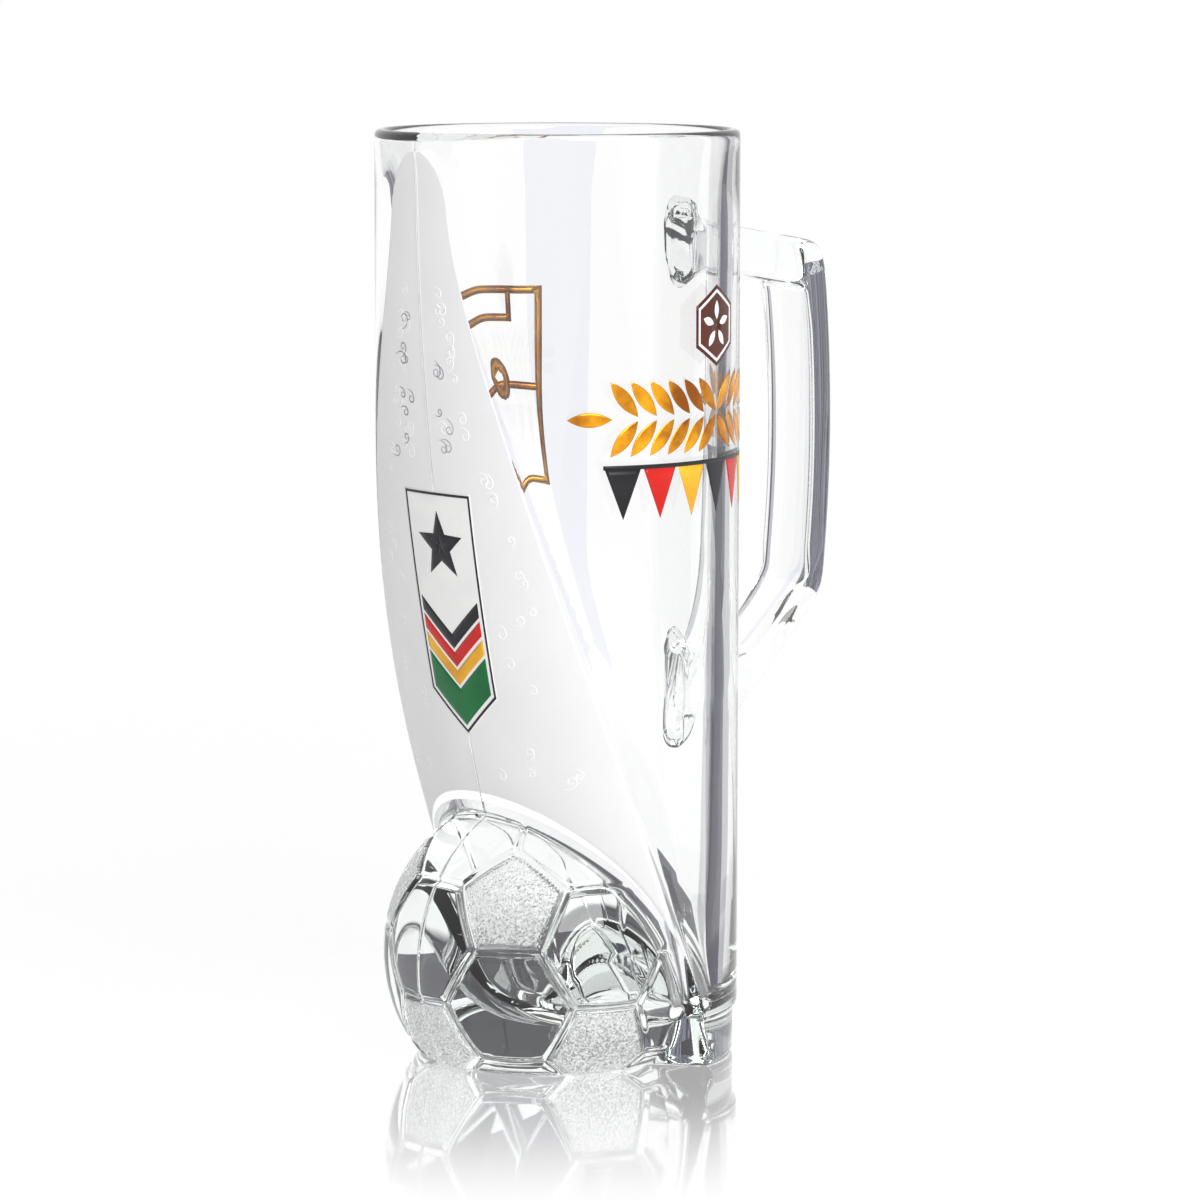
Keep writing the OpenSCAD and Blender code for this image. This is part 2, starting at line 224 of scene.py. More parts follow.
@dataclass(frozen=True)
class GlassFinish:
    """Clear glass with a faint green body and, where asked, a hammered stipple on its outside.

    Depths are in metres here and in the other finishes, and noise scales count waves in a metre.
    """

    name: str
    stipple: bool = False
    slot: str = "glass"
    index: float = 1.52
    body: Shade = (0.6, 0.88, 0.74)
    density: float = 1.9
    grain: float = 1700.0
    grain_detail: float = 1.0
    grain_depth: float = 0.0006
    bloom: float = 0.55
    bloom_shade: Shade = (0.9, 0.91, 0.9)
    bloom_heights: Pair = (0.35, 0.6)

    def material(self) -> bpy.types.Material:
        """Builds the shader: a clear dielectric with even absorption, and the stipple where asked.

        Returns:
            The material.
        """
        mat = bpy.data.materials.new(self.name)
        bench = NodeBench(mat)
        glass = bench.feed("Principled BSDF", {
            "Base Color": WHITE, "Roughness": 0.0, "IOR": self.index, "Transmission Weight": 1.0})
        absorb = bench.add("VolumeAbsorption", {"Color": (*self.body, 1.0), "Density": self.density})
        bench.feed("Material Output", {"Volume": absorb})
        if self.stipple:
            self.add_stipple(bench, glass)
        return mat

    def add_stipple(self, bench: NodeBench, glass: bpy.types.Node) -> None:
        """Roughens the outside by a fine noise times the stipple's weight, with a white bloom on its tops.

        Args:
            bench: Bench with the material's nodes.
            glass: Shader of the clear glass.
        """
        weight = bench.add("Attribute", output="Fac", attribute_name="stipple")
        inside = bench.add("NewGeometry", output="Backfacing")
        outside = bench.add("Math", {0: weight, 1: inside}, operation="SUBTRACT", use_clamp=True)
        coords = bench.add("TexCoord", output="Object")
        noise = bench.add("TexNoise", {"Vector": coords, "Scale": self.grain, "Detail": self.grain_detail})
        height = bench.add("Math", {0: noise, 1: outside}, operation="MULTIPLY")
        bump = bench.add("Bump", {"Strength": 1.0, "Distance": self.grain_depth, "Height": height})
        bench.feed(glass, {"Normal": bump})
        bloom = bench.add("BsdfDiffuse", {"Color": (*self.bloom_shade, 1.0), "Normal": bump})
        share = bench.span(height, (*self.bloom_heights, 0.0, self.bloom))
        frost = bench.add("MixShader", {"Fac": share, 1: glass.outputs[0], 2: bloom})
        bench.feed("Material Output", {"Surface": frost})


@dataclass(frozen=True)
class InkFinish:
    """Fired print: two shades clouded into each other, a fine tooth and, where asked, painted light on its
    back.
    """

    name: str
    light: Shade
    dark: Shade
    roughness: float = 0.3
    metal: float = 0.0
    cloud: float = 90.0
    slot: str = ""
    # painted light: strength of a white glow on the back of the print, standing in for light that passes
    # through it
    painted_back_light: float = 0.0
    painted_light_depth: float = 0.004
    gloss: float = 0.2
    cloud_detail: float = 4.0
    cloud_limits: Pair = (0.36, 0.64)
    tooth: float = 4200.0
    tooth_depth: float = 0.00002
    tooth_strength: float = 0.5

    @cache
    def material(self) -> bpy.types.Material:
        """Builds the shader once: a noise mixes the two shades and a finer noise gives the tooth.

        The painted back light is a white glow that stands in for light passing through the print. The back
        is where the normal looks towards the frame's origin.

        Returns:
            The material.
        """
        mat = bpy.data.materials.new(self.name)
        bench = NodeBench(mat)
        coords = bench.add("TexCoord", output="Object")
        cloud = bench.add("TexNoise", {"Vector": coords, "Scale": self.cloud, "Detail": self.cloud_detail})
        tooth = bench.add("TexNoise", {"Vector": coords, "Scale": self.tooth})
        bump = bench.add("Bump", {
            "Strength": self.tooth_strength, "Distance": self.tooth_depth, "Height": tooth})
        shader = bench.feed("Principled BSDF", {
            "Base Color": bench.shades(cloud, self.cloud_limits, (self.dark, self.light)), "Normal": bump,
            "Roughness": self.roughness, "Metallic": self.metal, "Specular IOR Level": self.gloss})
        # painted light: the back glows white, fading over the depth, in place of light passing through the
        # print
        if self.painted_back_light > 0.0:
            normal = bench.add("NewGeometry", output="Normal")
            inward = bench.add("VectorMath", {0: normal, 1: coords}, "Value", operation="DOT_PRODUCT")
            glow = bench.span(inward, (-self.painted_light_depth, 0.0, self.painted_back_light, 0.0))
            bench.feed(shader, {"Emission Strength": glow, "Emission Color": WHITE})
        return mat


INKS = {ink.name: ink for ink in (
    # the satin carries painted light on its back: a white glow in place of light passing through it
    InkFinish("satin_white", (0.86, 0.86, 0.87), (0.836, 0.836, 0.846), 0.6, 0.0, 60.0, painted_back_light=0.4),
    InkFinish("pale_print", (0.9, 0.9, 0.89), (0.84, 0.84, 0.84), 0.4),
    InkFinish("black_print", (0.022, 0.022, 0.026), (0.012, 0.012, 0.014)),
    InkFinish("red_print", (0.62, 0.02, 0.016), (0.5, 0.012, 0.01)),
    InkFinish("yellow_print", (0.9, 0.48, 0.03), (0.72, 0.33, 0.02)),
    InkFinish("green_print", (0.006, 0.17, 0.045), (0.004, 0.12, 0.03)),
    InkFinish("brown_print", (0.09, 0.018, 0.008), (0.06, 0.011, 0.005)),
    InkFinish("gold_print", (0.96, 0.42, 0.02), (0.3, 0.085, 0.01), 0.22, 0.75, 110.0),
    InkFinish("streamer_white", (0.99, 0.99, 0.99), (0.97, 0.97, 0.97), 0.4, slot="pale_print"),
    InkFinish("streamer_grey", (0.4, 0.4, 0.42), (0.22, 0.22, 0.24), 0.4, slot="pale_print"),
)}


def make_piece(name: str, points: Array, faces: Faces, finish: GlassFinish | InkFinish, node: str = "",
               grain: Array | None = None) -> bpy.types.Object:
    """Puts a skin into a mesh object that rides on the mug.

    Args:
        name: Name of the piece.
        points: Points in millimetres.
        faces: Faces as lists of point numbers.
        finish: Finish of the piece.
        node: Node that the piece stands for, if any.
        grain: Stipple weight of each point, where the piece has one.

    Returns:
        The new object.
    """
    mesh = bpy.data.meshes.new(name)
    mesh.from_pydata((points * MM).tolist(), [], faces)
    if grain is not None:
        mesh.attributes.new("stipple", "FLOAT", "POINT").data.foreach_set("value", grain.astype(np.float32))
    work = bmesh.new()
    work.from_mesh(mesh)
    bmesh.ops.remove_doubles(work, verts=work.verts, dist=MERGE)
    work.to_mesh(mesh)
    work.free()
    mesh.polygons.foreach_set("use_smooth", np.ones(len(mesh.polygons), bool))
    mesh.materials.append(finish.material())
    piece = bpy.data.objects.new(name, mesh)
    bpy.context.scene.collection.objects.link(piece)
    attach(piece, "root")
    if node:
        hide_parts(node)
    log.info("%s: %d points, %d faces", name, len(mesh.vertices), len(mesh.polygons))
    return piece


@dataclass(frozen=True)
class Scoop:
    """Barrel that hollows the front: a long arc seen from the side, a wide one seen from above."""

    front: float = 38.3
    cross: float = 82.0
    arc: float = 560.0
    upright: float = 195.0
    end: float = 190.3
    runout: float = math.radians(6.3)
    overlap: float = 2.0
    blend: float = 0.25

    def radius(self, z: Array) -> Array:
        """Radius of the barrel, with a straight flare above the run-out.

        Args:
            z: Heights.

        Returns:
            Radii about the barrel's own axis.
        """
        plain = barrel(z, self.cross, self.arc, self.upright)
        run = self.upright - self.end
        flare = self.cross - run * run / (2.0 * self.arc) + (z - self.end) * math.tan(self.runout)
        return np.where(z > self.end - self.overlap, smooth_max(plain, flare, self.blend), plain)

    def reach(self, angle: Array, z: Array) -> Array:
        """Distance from the mug's axis to the barrel, whose own axis lies behind it."""
        return circle_reach(angle, self.radius(z), self.front - self.cross)


@dataclass(frozen=True)
class Football:
    """Moulded ball of twelve pentagons and twenty hexagons, a pentagon on top, parted by grooves."""

    radius: float = 35.45
    height: float = 22.2
    forward: float = 3.1
    groove: float = 0.6
    half_width: float = 0.62
    flank: float = 0.42
    seam_blend: float = 0.5
    stipple_edge: Pair = (1.0, 1.5)
    pentagon_plane: float = 2.32744
    hexagon_plane: float = 2.26728
    nowhere: float = -20.0

    def axes(self) -> tuple[Array, Array]:
        """Axes of the panels: the corners of an icosahedron, then the middles of its faces.

        Returns:
            Unit axes, and the distance of each panel's plane for edges of length one.
        """
        turn = np.radians(np.concatenate([36.0 + 72.0 * np.arange(5), 72.0 * np.arange(5)]))
        cosine = 1.0 / math.sqrt(5.0)
        up = np.repeat([cosine, -cosine], 5)
        belt = around(np.sqrt(1.0 - up * up), turn, up)
        corners = np.concatenate([[[0, 0, 1.0], [0, 0, -1.0]], belt])
        near = corners @ corners.T > 0.9 * cosine
        i, j, k = np.meshgrid(*[np.arange(12)] * 3, indexing="ij")
        face = (i < j) & (j < k) & near[i, j] & near[j, k] & near[i, k]
        middles = corners[i[face]] + corners[j[face]] + corners[k[face]]
        middles /= np.linalg.norm(middles, axis=1, keepdims=True)
        planes = np.repeat([self.pentagon_plane, self.hexagon_plane], [12, 20])
        return np.concatenate([corners, middles]), planes

    def panels(self, direction: Array) -> tuple[Array, Array]:
        """Finds the panel under each direction and how far away its seam is.

        The panel is the plane that the ray meets first. The seam to the next plane is a great circle,
        whose normal is the difference of the axes, each times the other's distance.

        Args:
            direction: Unit directions from the ball's centre, one a row.

        Returns:
            Distance to the seam in millimetres, and 1 on pentagons, 0 on hexagons.
        """
        axes, planes = self.axes()
        met = planes / np.maximum(direction @ axes.T, 1e-6)
        order = np.argsort(met, axis=1)[:, :3]
        first = order[:, 0]
        away = []
        for other in (order[:, 1], order[:, 2]):
            normal = planes[other, None] * axes[first] - planes[first, None] * axes[other]
            sine = np.abs(np.sum(normal * direction, 1)) / np.linalg.norm(normal, axis=1)
            away.append(self.radius * np.arcsin(np.clip(sine, 0.0, 1.0)))
        return smooth_min(away[0], away[1], self.seam_blend), (first < 12).astype(float)

    def reach(self, angle: Array, z: Array) -> tuple[Array, Array]:
        """Distance from the mug's axis to the grooved ball, and the stipple of its pentagons.

        Args:
            angle: Angles from the front.
            z: Heights.

        Returns:
            Distances, far inside the mug where there is no ball, and stipple weights.
        """
        def cast(radius: Array) -> Array:
            """Distance along each angle to a ball of the given radii, from the quadratic of a circle.

            Args:
                radius: Radii of the ball.

            Returns:
                Distances from the mug's axis.
            """
            inside = radius ** 2 - (z - self.height) ** 2 - (self.forward * np.sin(angle)) ** 2
            hit = self.forward * np.cos(angle) + np.sqrt(np.maximum(inside, 0.0))
            return np.where(inside > 0.0, hit, self.nowhere)

        plain = cast(np.full_like(z, self.radius))
        spot = around(plain, angle, z - self.height, self.forward).reshape(-1, 3)
        spot /= np.maximum(np.linalg.norm(spot, axis=1, keepdims=True), 1e-6)
        seam, pentagon = self.panels(spot)
        depth = self.groove * (1.0 - ramp(seam, self.half_width - self.flank, self.half_width + self.flank))
        rough = pentagon * ramp(seam, *self.stipple_edge)
        return cast(self.radius - depth.reshape(z.shape)), rough.reshape(z.shape)


@dataclass
class GlassBody:
    """Pressed body: round wall, heel ring, scoop, ball, lip and bore, one closed skin."""

    height: float = 200.0
    radius: float = 39.1
    lip: float = 1.35
    heel: float = 10.7
    step: float = 0.9
    foot_edge: float = 1.6
    hollow: float = 23.0
    hollow_rise: float = 1.2
    floor: float = 10.5
    floor_shift: float = 16.0
    shift_heights: Pair = (40.0, 150.0)
    corner: float = 5.0
    bore_low: float = 33.7
    bore_high: float = 36.4
    bore_shrink: float = 1.0
    shrink_heights: Pair = (184.0, 197.0)
    bore_taper: float = 2.2
    taper_height: float = 48.0
    bore_axis: float = 42.9
    bore_cross: float = 79.3
    bore_arc: float = 473.0
    bore_blend: float = 5.0
    fillet: float = 2.4
    edge: float = 0.5
    ball_top: float = 60.0
    stipple_fade: Pair = (0.5, 1.5)
    ridge: float = 0.22
    ridge_width: float = 0.26
    ridge_end: float = 198.0
    ridge_fade: float = 3.0
    ridge_gap: Pair = (70.0, 126.0)
    seam_columns: tuple[int, float] = (8, 0.15)
    front_columns: Triple = (1.2, 108.0, 0.53)
    back_columns: tuple[float, float, int] = (108.2, 180.0, 38)
    scoop: Scoop = field(default_factory=Scoop)
    ball: Football = field(default_factory=Football)

    @property
    def shoulder(self) -> float:
        """Height at which the half circle of the lip starts."""
        return self.height - self.lip

    @property
    def bend(self) -> float:
        """Height at which the bore's lower corner starts."""
        return self.floor + self.corner

    def columns(self) -> Array:
        """Angles of the columns: closest at the mould line, close round the ball, wide behind.

        Returns:
            Angles in radians, the same on both sides of the mould line.
        """
        seam = np.arange(self.seam_columns[0]) * self.seam_columns[1]
        half = np.concatenate([seam, np.arange(*self.front_columns), np.linspace(*self.back_columns)])
        return np.radians(np.concatenate([-half[-2:0:-1], half]))

    def round_wall(self, z: Array) -> Array:
        """Radius of the round wall: the heel ring, a quarter-round ledge, then the full radius."""
        up = np.clip((z - self.heel) / self.step, 0.0, 1.0)
        return self.radius - self.step + self.step * np.sqrt(1.0 - (1.0 - up) ** 2)

    def outer(self, angle: Array, z: Array) -> tuple[Array, Array]:
        """Outside of the glass: the lesser of wall and scoop, the greater of that and the ball.

        Args:
            angle: Angles from the front.
            z: Heights.

        Returns:
            Distances from the axis, with the mould ridge on the front, and stipple weights.
        """
        wall = smooth_min(self.round_wall(z), self.scoop.reach(angle, z), self.edge)
        r, rough = wall, np.zeros_like(z)
        if z.min() < self.ball_top:
            ball, stipple = self.ball.reach(angle, z)
            r = smooth_max(wall, ball, self.fillet)
            rough = stipple * ramp(ball - wall, *self.stipple_fade)
        ridge = self.ridge * np.exp(-(r * np.sin(angle) / self.ridge_width) ** 2) * (np.cos(angle) > 0.0)
        low, high = self.ridge_gap
        kept = 1.0 - ramp(z, low - 1.0, low) + ramp(z, high, high + 1.0)
        return r + ridge * kept * ramp(self.ridge_end - z, 0.0, self.ridge_fade), rough

    def bore(self, angle: Array, z: Array, centre: Array) -> Array:
        """Inside of the glass seen from a centre behind the axis: the lesser of cone and barrel.

        The cone narrows by the shrink below the lip and by the taper towards the floor.

        Args:
            angle: Angles from the front, about the centre.
            z: Heights.
            centre: Places of the centre towards the handle.

        Returns:
            Distances from the centre.
        """
        widening = (self.bore_high - self.bore_low) / (self.shoulder - self.bend)
        cone = self.bore_low + (z - self.bend) * widening
        cone = cone - self.bore_shrink * ramp(-z, -self.shrink_heights[1], -self.shrink_heights[0])
        cone = cone - self.bore_taper * np.clip(1.0 - z / self.taper_height, 0.0, 1.0) ** 2
        side = circle_reach(angle, cone, centre)
        hollow = barrel(z, self.bore_cross, self.bore_arc, self.scoop.upright)
        front = circle_reach(angle, hollow, centre - self.bore_axis)
        drop = np.clip(self.bend - z, 0.0, self.corner)
        corner = self.corner - np.sqrt(self.corner ** 2 - drop ** 2)
        return smooth_min(side, front, self.bore_blend) - corner

    def outside_rings(self) -> tuple[list[Array], list[Array]]:
        """Rings from the middle of the foot up to the lip, fine round the ball.

        Returns:
            Rings of points, and the stipple weights of each ring.
        """
        fine = self.columns()
        coarse = fine[::2]
        turn = np.radians(np.linspace(0.0, 90.0, 6))
        edge_z = self.foot_edge * (1.0 - np.cos(turn))
        ledge = self.heel + np.array([-0.3, 0.0, 0.05, 0.2, 0.45, 0.9, 1.2])
        close_z = np.unique(np.concatenate([np.arange(2.0, 58.0, 0.5), ledge]))
        angle, z = np.meshgrid(fine, np.concatenate([edge_z, close_z]))
        r, rough = self.outer(angle, z)
        r[:len(turn)] -= (self.foot_edge * (1.0 - np.sin(turn)))[:, None]
        ball_rings = around(r, angle, z)
        run_z = np.concatenate([np.linspace(59.5, 186.0, 36), np.linspace(187.0, 196.5, 12)])
        angle, z = np.meshgrid(coarse, np.concatenate([run_z, [self.ridge_end, self.shoulder]]))
        wide_rings = around(self.outer(angle, z)[0], angle, z)
        share = np.array([0.15, 0.3, 0.45, 0.6, 0.75, 0.88, 0.96, 1.0, 1.04])[:, None] * np.ones_like(coarse)
        rise = self.hollow_rise * (1.0 - np.clip(share, 0.0, 1.0) ** 2)
        foot = self.hollow * share
        flat = foot[-1] + (r[0, ::2] - foot[-1]) * np.array([[0.35], [0.7], [0.95]])
        heights = np.concatenate([rise, np.zeros_like(flat)])
        foot_rings = around(np.concatenate([foot, flat]), coarse, heights)
        middle = np.array([[0.0, 0.0, self.hollow_rise]])
        rings = [middle, *foot_rings, *ball_rings, *wide_rings]
        smooth = [np.zeros(1), *np.zeros(foot_rings.shape[:2])]
        return rings, [*smooth, *rough, *np.zeros(wide_rings.shape[:2])]

    def inside_rings(self) -> list[Array]:
        """Rings over the lip, a half circle, then down the bore and across the floor.

        Returns:
            Rings of points.
        """
        coarse = self.columns()[::2]
        turn = np.radians(np.linspace(0.0, 180.0, 12)[1:-1])[:, None]
        r = self.radius - self.lip + self.lip * np.cos(turn)
        lip = around(r, coarse, self.shoulder + self.lip * np.sin(turn))
        bend_z = self.bend - self.corner * np.sin(np.radians(np.linspace(0.0, 90.0, 8)))
        low_z = np.linspace(80.0, self.bend + 1.5, 42)
        down = np.concatenate([[self.shoulder, 197.5], np.linspace(195.0, 84.0, 18), low_z, bend_z])
        angle, z = np.meshgrid(coarse, down)
        centre = self.floor_shift * ramp(-z, -self.shift_heights[1], -self.shift_heights[0])
        r = self.bore(angle, z, centre)
        wall = around(r, angle, z, centre)
        share = np.array([[0.85], [0.6], [0.3]])
        floor = around(r[-1] * share, coarse, np.full_like(share, self.floor), self.floor_shift)
        return [*lip, *wall, *floor, np.array([[self.floor_shift, 0.0, self.floor]])]

    def build(self, finish: GlassFinish) -> bpy.types.Object:
        """Joins outside and inside into the body.

        Args:
            finish: Glass of the body.

        Returns:
            The body.
        """
        rings, rough = self.outside_rings()
        inside = self.inside_rings()
        points, faces = skin(rings + inside)
        grain = np.concatenate([*rough, np.zeros(sum(len(r) for r in inside))])
        return make_piece("glass_mug_body", points, faces, finish, "glass_body", grain)


@dataclass
class StrapHandle:
    """Strap handle: an inner and an outer outline in the mould plane carry a rounded section.

    Each outline holds its side, the window of its averaging and its upper and lower flare. Pairs for
    the welds hold the upper one first, and each wave an amount, a count of lobes and a start.
    """

    wall: float = 39.1
    sink: float = 0.45
    reach: float = 34.6
    width: float = 16.2
    grip: float = 6.9
    bow: float = 283.0
    middle: float = 133.0
    upper_z: float = 173.7
    upper_fall: float = math.radians(9.6)
    upper_thick: float = 10.4
    lower_z: float = 69.6
    lower_rise: float = math.radians(44.3)
    lower_thick: float = 8.2
    edge: float = 2.0
    outer: tuple[float, int, Pair, Pair] = (1.0, 9, (3.7, 7.0), (-2.8, 9.0))
    inner: tuple[float, int, Pair, Pair] = (-1.0, 5, (-3.7, 7.0), (12.8, 13.0))
    samples: tuple[int, int, int] = (44, 100, 56)
    halfway: int = 80
    weld_fade: float = 7.0
    weld_narrowing: Pair = (4.2, 7.6)
    weld_rounding: Pair = (3.4, 2.0)
    weld_waves: tuple[Triple, ...] = ((0.1, 3.0, 1.0), (0.07, 5.0, 2.0))
    crown: Pair = (0.8, 3.6)
    crown_steps: Limits = (40, 60, 132, 160)

    def outline(self, side: float, window: int, flare_up: Pair, flare_low: Pair) -> Drawing:
        """One outline: a falling line, a bowed arc and a line back, with corners rounded by averaging.

        Args:
            side: 1 for the outer outline, -1 for the inner one.
            window: Number of points that are averaged.
            flare_up: Height added at the upper weld, and the length over which it fades.
            flare_low: Height added at the lower weld, and the length over which it fades.

        Returns:
            Places in X and Z along the outline.
        """
        arc = self.bow + side * self.grip / 2.0
        hub = self.wall + self.reach - self.grip / 2.0 - self.bow

        def corner(z: float, slope: float) -> Pair:
            """Point where a line from the wall meets the arc, from the quadratic of a circle.

            Args:
                z: Height of the line at the wall.
                slope: Rise of the line for each step outwards.

            Returns:
                Place in X and Z.
            """
            a = 1.0 + slope * slope
            b = (self.wall - hub) + slope * (z - self.middle)
            c = (self.wall - hub) ** 2 + (z - self.middle) ** 2 - arc ** 2
            x = (math.sqrt(b * b - a * c) - b) / a
            return self.wall + x, z + slope * x

        top = self.upper_z + side * self.upper_thick / 2.0 / math.cos(self.upper_fall)
        low = self.lower_z - side * self.lower_thick / 2.0 / math.cos(self.lower_rise)
        bend_a = corner(top, -math.tan(self.upper_fall))
        bend_b = corner(low, math.tan(self.lower_rise))
        out = np.linspace(0.0, 1.0, self.samples[0])
        back = np.linspace(0.0, 1.0, self.samples[2])
        z = np.linspace(bend_a[1], bend_b[1], self.samples[1])[1:-1]
        x = np.concatenate([self.wall + out * (bend_a[0] - self.wall),
                            hub + np.sqrt(arc ** 2 - (z - self.middle) ** 2),
                            bend_b[0] + back * (self.wall - bend_b[0])])
        z = np.concatenate([top + out * (bend_a[1] - top), z, bend_b[1] + back * (low - bend_b[1])])
        kernel = np.ones(window) / window
        pad = window // 2
        for _ in range(2):
            x = np.convolve(np.pad(x, pad, "reflect", reflect_type="odd"), kernel, "valid")
            z = np.convolve(np.pad(z, pad, "reflect", reflect_type="odd"), kernel, "valid")
        upper = np.arange(len(x)) < self.halfway
        near = np.clip(1.0 - (x - self.wall) / flare_up[1], 0.0, 1.0) ** 2 * upper
        far = np.clip(1.0 - (x - self.wall) / flare_low[1], 0.0, 1.0) ** 2 * ~upper
        return x, z + near * flare_up[0] + far * flare_low[0]

    def section(self) -> tuple[Array, Array, Array, Array]:
        """Unit section: a rectangle with rounded corners, as sides and roundings of each point.

        Returns:
            Across side, depth side, and the cosine and sine of each point's place on its corner.
        """
        turn = np.radians(np.linspace(0.0, 90.0, 7))
        quarter = np.arange(4)[:, None] * math.pi / 2.0 + turn[None, :]
        across = np.repeat([1.0, -1.0, -1.0, 1.0], len(turn))
        depth = np.repeat([1.0, 1.0, -1.0, -1.0], len(turn))
        return across, depth, np.cos(quarter).ravel(), np.sin(quarter).ravel()

    def cap(self, ring: Array) -> list[Array]:
        """Rings that close an end on the wall: its middle, then copies of the ring drawn in.

        Args:
            ring: Last ring of the handle.

        Returns:
            A point and two rings on the seat.
        """
        middle = ring.mean(0)
        share = np.array([[0.0], [0.3], [0.65]])
        y = middle[1] + (ring[:, 1] - middle[1]) * share
        z = middle[2] + (ring[:, 2] - middle[2]) * share
        sheets = np.stack([self.seat(y), y, z], -1)
        return [sheets[0, :1], sheets[1], sheets[2]]

    def seat(self, y: Array) -> Array:
        """Place in X of the handle's seat, a little inside the round wall."""
        return np.sqrt((self.wall - self.sink) ** 2 - y * y)

    def build(self, finish: GlassFinish) -> bpy.types.Object:
        """Carries the section from weld to weld and closes both ends on the wall.

        Args:
            finish: Glass of the handle.

        Returns:
            The handle.
        """
        ox, oz = self.outline(*self.outer)
        ix, iz = self.outline(*self.inner)
        step = np.arange(len(ox))
        upper = step < self.halfway
        ends = np.clip(1.0 - (np.minimum(ox, ix) - self.wall) / self.weld_fade, 0.0, 1.0) ** 2
        crown = self.crown[0] * ramp(step, *self.crown_steps[:2])
        crown = crown + self.crown[1] * ramp(step, *self.crown_steps[2:]) * (1.0 - ends)
        crown, ends = crown[:, None], ends[:, None]
        thick = np.hypot(ox - ix, oz - iz)[:, None]
        width = self.width - ends * np.where(upper, *self.weld_narrowing)[:, None]
        edge = self.edge + ends * np.where(upper, *self.weld_rounding)[:, None]
        across, depth, cosine, sine = self.section()
        u = across * (width / 2.0 - edge) + edge * cosine
        v = depth * (thick / 2.0 - edge) + edge * sine
        v = v + crown * (2.0 * u / width) ** 2 * (0.5 - v / thick)
        turn = np.arctan2(v, u)
        wave = 1.0 + ends * sum(a * np.sin(n * turn + start) for a, n, start in self.weld_waves)
        u, v = u * wave, v * wave
        share = 0.5 + v / thick
        x = ix[:, None] + share * (ox - ix)[:, None]
        z = iz[:, None] + share * (oz - iz)[:, None]
        x[[0, -1]] = self.seat(u[[0, -1]])
        rings = list(np.stack([x, u, z], -1))
        points, faces = skin(self.cap(rings[0]) + rings + self.cap(rings[-1])[::-1])
        return make_piece("glass_strap_handle", points, faces, finish, "handle")


@dataclass
class PrintShop:
    """Lays printed shapes on one ground of the body as thin closed slabs that follow its surface."""

    body: GlassBody
    ground: Ground
    angle: float = 0.0
    sink: float = 0.03
    first: float = 0.05
    layer: float = 0.04
    guess: float = 36.0
    repeats: int = 4

    def place(self, u: Array, z: Array, lift: float) -> Array:
        """Puts flat drawing coordinates on the mug.

        On the wall the drawing wraps round by arc length. On the scoop it is seen from the front, so
        the angle is the one whose sine times the distance is u, found by a few repeats.

        Args:
            u: Sideways places, towards -Y on the scoop, or angles from the front.
            z: Heights.
            lift: Distance above the glass.

        Returns:
            Points in millimetres.
        """
        if self.ground is Ground.WALL:
            turn = math.radians(self.angle) + u / self.body.radius
            r = self.body.radius
        elif self.ground is Ground.TURN:
            turn = u
            r = self.body.outer(turn, z)[0]
        else:
            turn = np.arcsin(np.clip(u / self.guess, -1.0, 1.0))
            for _ in range(self.repeats):
                r = self.body.outer(turn, z)[0]
                turn = np.arcsin(np.clip(u / r, -1.0, 1.0))
        return around(r + lift, turn, z)

    def slabs(self, name: str, shapes: list[Drawing], layer: int, ink: InkFinish, node: str = "",
              loop: bool = False) -> bpy.types.Object:
        """Makes one piece of slabs, each a grid of drawing coordinates with a front, a back and a rim.

        Args:
            name: Name of the piece.
            shapes: Grids of u and z, with leading axes for copies.
            layer: Number of layers underneath.
            ink: Finish.
            node: Node that the piece stands for, if any.
            loop: Whether the last column joins the first.

        Returns:
            The piece.
        """
        top = self.first + layer * self.layer
        low = -self.sink if layer == 0 else top - 1.5 * self.layer
        points, faces, start = [], [], 0
        for u, z in shapes:
            rows, cols = u.shape[-2:]
            u, z = u.reshape(-1, rows, cols), z.reshape(-1, rows, cols)
            points.append(np.stack([self.place(u, z, top), self.place(u, z, low)], 1).reshape(-1, 3))
            number = np.arange(rows * cols).reshape(rows, cols)
            if loop:
                number = np.concatenate([number, number[:, :1]], 1)
            quads = np.stack([number[:-1, :-1], number[1:, :-1], number[1:, 1:], number[:-1, 1:]], -1)
            quads = quads.reshape(-1, 4)
            rims = [number[0], number[-1, ::-1]]
            if not loop:
                rims += [number[::-1, 0], number[:, -1]]
            back_of = rows * cols
            walls = [np.stack([e[:-1], e[1:], e[1:] + back_of, e[:-1] + back_of], -1) for e in rims]
            one = np.concatenate([quads, quads[:, ::-1] + back_of, *walls])
            copies = np.arange(len(u))[:, None, None] * 2 * back_of
            faces.append((one[None] + copies).reshape(-1, 4) + start)
            start += len(u) * 2 * back_of
        piece = make_piece(name, np.concatenate(points), np.concatenate(faces).tolist(), ink, node)
        work = bmesh.new()
        work.from_mesh(piece.data)
        bmesh.ops.dissolve_degenerate(work, dist=MERGE / 2.0, edges=work.edges)
        bmesh.ops.recalc_face_normals(work, faces=work.faces)
        work.to_mesh(piece.data)
        work.free()
        return piece


def grid(columns: int, rows: int) -> Drawing:
    """Two parameters on a grid: s from -1 to 1 along the columns, t from 0 to 1 down the rows."""
    return np.meshgrid(np.linspace(-1.0, 1.0, columns), np.linspace(0.0, 1.0, rows))


def polygon(corners: Array, samples: int) -> Drawing:
    """Points along the edges of closed polygons, the same number on each edge, one polygon a row.

    Args:
        corners: Corners of a polygon, or of several with as many corners.
        samples: Points on each edge.

    Returns:
        Places along u and z.
    """
    t = np.linspace(0.0, 1.0, samples, endpoint=False)[:, None]
    line = corners[..., None, :] + t * (np.roll(corners, -1, -2) - corners)[..., None, :]
    line = line.reshape(*corners.shape[:-2], -1, 2)
    return line[..., 0], line[..., 1]


